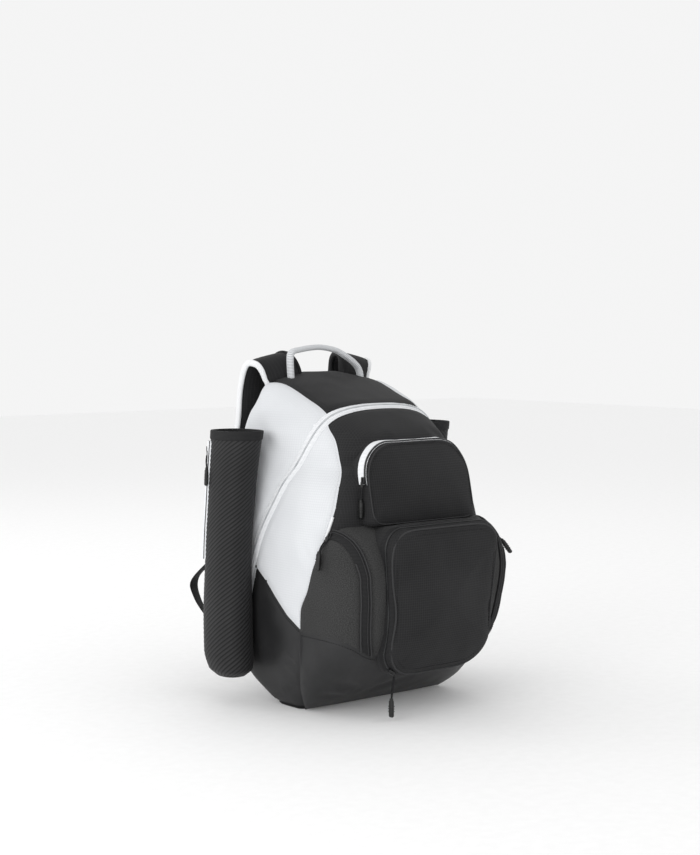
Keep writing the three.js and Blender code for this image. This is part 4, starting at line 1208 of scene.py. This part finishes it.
# %% Zip coils and pocket zips
def coil(name, points, material, half=2.2, pitch=2.0, lift=1.0, sideways=(0, 1, 0)):
    line, _, length = curve_through(points, 2)
    steps = min(int(length / pitch * 4), 2600)
    turns = 2 * math.pi * length / pitch
    piece = sweep(name, points, lambda t: (half * (1 + 0.12 * math.sin(turns * t)),
                                           lift * (1 + 0.25 * math.sin(turns * t)), 3, 0),
                  count=8, steps=steps, sideways=sideways)
    return finish_piece(piece, material, flat_uv=False)


def coil_on(name, line, material, half=2.0, lift=0.9):
    points, normals = line
    share = np.linspace(0, 1, len(points))
    tangents = np.gradient(points, axis=0)
    sideways = np.cross(normals, tangents)
    coil(name, points + normals * 0.5, material, half=half, lift=lift, sideways=turning(share, sideways))


def piping_on(name, line, radius, material=piping_black, slot="black_tape"):
    """A round bead of binding along a traced line"""
    points, normals = line
    share = np.linspace(0, 1, len(points))
    sideways = np.cross(normals, np.gradient(points, axis=0))
    bead = sweep(name, points + normals * radius * 0.45, lambda t: (radius, radius, 2, 0), count=10,
                 steps=min(4 * len(points), 400), sideways=turning(share, sideways))
    return finish_piece(bead, material, flat_uv=False)


coil_on("main_zip_coil", zip_middles["main_zip"], coil_grey, half=1.3, lift=0.7)
coil_on("top_pocket_zip_coil", zip_middles["top_pocket"], coil_black, half=1.5, lift=0.9)
coil_on("big_pocket_zip_coil", zip_middles["big_pocket"], coil_black, half=1.6, lift=0.9)
for details in pipings:
    piping_on(*details)
print("pocket zips made")

# %% Zip pulls
PULLS = {
    "side_left": ((-147.2, -111.3, 261.1), (-8.8, -1.8, 4.4), (-165.2, -111.3, 240.1),
                  (-166.9, -109.9, 212.2)),
    "side_right": ((147.2, -111.3, 261.1), (8.8, -1.8, 4.4), (183.2, -121.3, 230.1),
                   (198.7, -126.9, 207.5)),
    "top_pocket": ((-101.9, -131.1, 337.6), (-10, 0, 0), (-104.9, -130.1, 309.6), (-105.5, -130.1, 281.6)),
    "big_pocket": ((-79.2, -165.3, 69.8), (-6, 0, -8), (-80.2, -167.3, 30.8), (-80.2, -167.3, 2.8)),
}
for side, name in ((-1, "left"), (1, "right")):
    PULLS[f"sleeve_{name}"] = ((side * 211.8, 86.5, 375), (side * 8.6, 5.1, 0), (side * 214.8, 87.5, 347),
                               (side * 216.2, 87.5, 319))


def shape_box(name, size, spot=(0, 0, 0), bevel=0.6, segments=3):
    """A box in millimetres with rounded edges, back in object mode"""
    bpy.ops.object.select_all(action="DESELECT")
    bpy.ops.mesh.primitive_cube_add(size=1, location=[c * MM for c in spot])
    box = bpy.context.object
    box.name = name
    box.scale = [c * MM for c in size]
    bpy.ops.object.transform_apply(location=True, rotation=True, scale=True)
    bpy.ops.object.mode_set(mode="EDIT")
    bpy.ops.mesh.bevel(offset=bevel * MM, segments=segments, affect="EDGES")
    bpy.ops.object.mode_set(mode="OBJECT")
    return box


def narrow(box, below, factor):
    """Draws in the points below a height along the piece"""
    for vert in box.data.vertices:
        vert.select = vert.co.y < below * MM
    for edge in box.data.edges:
        edge.select = all(box.data.vertices[v].select for v in edge.vertices)
    bpy.ops.object.mode_set(mode="EDIT")
    bpy.ops.transform.resize(value=(factor, 1, 1))
    bpy.ops.object.mode_set(mode="OBJECT")


def join_boxes(name, boxes):
    bpy.ops.object.select_all(action="DESELECT")
    for box in boxes:
        box.select_set(True)
    bpy.context.view_layer.objects.active = boxes[0]
    bpy.ops.object.join()
    boxes[0].name = name
    return boxes[0]


def slider_form():
    """A slider: two wings, a neck, a bridge for the tab, and the tab itself"""
    wings = shape_box("slider_form", (8.4, 10.5, 2.6), bevel=0.9)
    narrow(wings, -1, 0.72)
    bridge = shape_box("bridge", (2.2, 8, 1.2), (0, 0, 2.7), bevel=0.5)
    posts = [shape_box("post", (2, 1.6, 2.2), (0, y, 1.7), bevel=0.3) for y in (-3, 3)]
    tab = shape_box("tab", (4.6, 8.5, 1.1), (0, -6.2, 2.4), bevel=0.45)
    return join_boxes("slider_form", [wings, bridge, tab] + posts)


def grip_form():
    """A moulded grip: a rounded bar, a neck for the cord and raised bands for the fingers"""
    bar = shape_box("grip_form", (7.6, 24, 5.4), (0, -13.5, 0), bevel=2.1, segments=4)
    neck = shape_box("neck", (5, 6, 4.2), (0, -1.5, 0), bevel=1.4, segments=3)
    bands = [shape_box("band", (7.9, 1.3, 5.8), (0, y, 0), bevel=0.5) for y in (-10, -13.5, -17)]
    return join_boxes("grip_form", [bar, neck] + bands)


def placed_copy(form, name, spot, across, up, out):
    piece = bpy.data.objects.new(name, form.data.copy())
    bpy.context.scene.collection.objects.link(piece)
    turn = Matrix((across, up, out)).transposed().to_4x4()
    piece.data.transform(Matrix.Translation(Vector(spot) * MM) @ turn)
    return piece


def make_pull(name, at, out, knot, end, slider, grip):
    at, out, knot, end = (np.array(v, float) for v in (at, out, knot, end))
    out /= np.linalg.norm(out)
    down = knot - at
    down -= out * down.dot(out)
    down /= np.linalg.norm(down)
    across = np.cross(out, down)
    slide = placed_copy(slider, f"slider_{name}", at, -across, -down, out)
    finish_piece(slide, enamel_black)
    top = at + out * 2.6 + down * 9
    for number, side in enumerate((-1, 1)):
        off = across * side * 0.9
        bow = top * 0.55 + knot * 0.45 + out * 0.8 + off * 1.8
        cord = sweep(f"cord_{name}_{number}", [top + off * 1.4, bow, knot + off * 0.6],
                     lambda t: (1.0, 1.0, 2, 0), count=10, steps=40, sideways=across)
        finish_piece(cord, webbing_black, flat_uv=False)
    along = (knot - end) / np.linalg.norm(knot - end)
    face = out - along * out.dot(along)
    face /= np.linalg.norm(face)
    piece = placed_copy(grip, f"pull_{name}_grip", knot, np.cross(along, face), along, face)
    finish_piece(piece, rubber_black, f"pull_{name}")


slider, grip = slider_form(), grip_form()
for name, places in PULLS.items():
    make_pull(name, *places, slider, grip)
for form in (slider, grip):
    bpy.data.objects.remove(form)
SLEEVE_ZIP_FROM, SLEEVE_ZIP_TO, SLEEVE_ZIP_BACK = 213, 387, 21
for side, name in ((-1, "left"), (1, "right")):
    path = []
    for z in np.linspace(SLEEVE_ZIP_FROM, SLEEVE_ZIP_TO, 30):
        ring = sleeve_ring(side, z, 0, 720)
        middle = ring[:, 1].mean()
        outer = ring[side * (ring[:, 0] - ring[:, 0].mean()) > 0]
        spot = outer[np.argmin(np.abs(outer[:, 1] - middle - SLEEVE_ZIP_BACK))]
        path.append((spot[0] - side * 1.6, spot[1] + 5.5, z))
    tape = sweep(f"sleeve_zip_{name}_tape", path, lambda t: (4.6, 2.8, 3.5, 0), count=16, steps=60,
                 sideways=(side * 0.12, 1, 0))
    finish_piece(tape, tape_white, f"sleeve_zip_{name}", flat_uv=False)
    coil(f"sleeve_zip_{name}_coil", [(x + side * 2.5, y - 1.6, z) for x, y, z in path], coil_black, half=0.8,
         lift=0.8)
print("pulls made:", len(PULLS))

# %% Stitches
def make_stitches(name, rows, material):
    points, faces = [], []
    for row in rows:
        k = len(points)
        points += row
        for i in range(4):
            j = (i + 1) % 4
            faces += [(k, k + 1 + j, k + 1 + i), (k + 1 + i, k + 1 + j, k + 5 + j, k + 5 + i),
                      (k + 5 + i, k + 5 + j, k + 9)]
    piece = new_piece(name, np.array(points) * MM, faces)
    bm = bmesh.new()
    bm.from_mesh(piece.data)
    bmesh.ops.recalc_face_normals(bm, faces=bm.faces)
    bm.to_mesh(piece.data)
    bm.free()
    finish_piece(piece, material)


make_stitches("white_stitches", threads["white"], edge_white)
make_stitches("black_stitches", threads["black"], webbing_black)
print("stitches:", {colour: len(rows) for colour, rows in threads.items()})
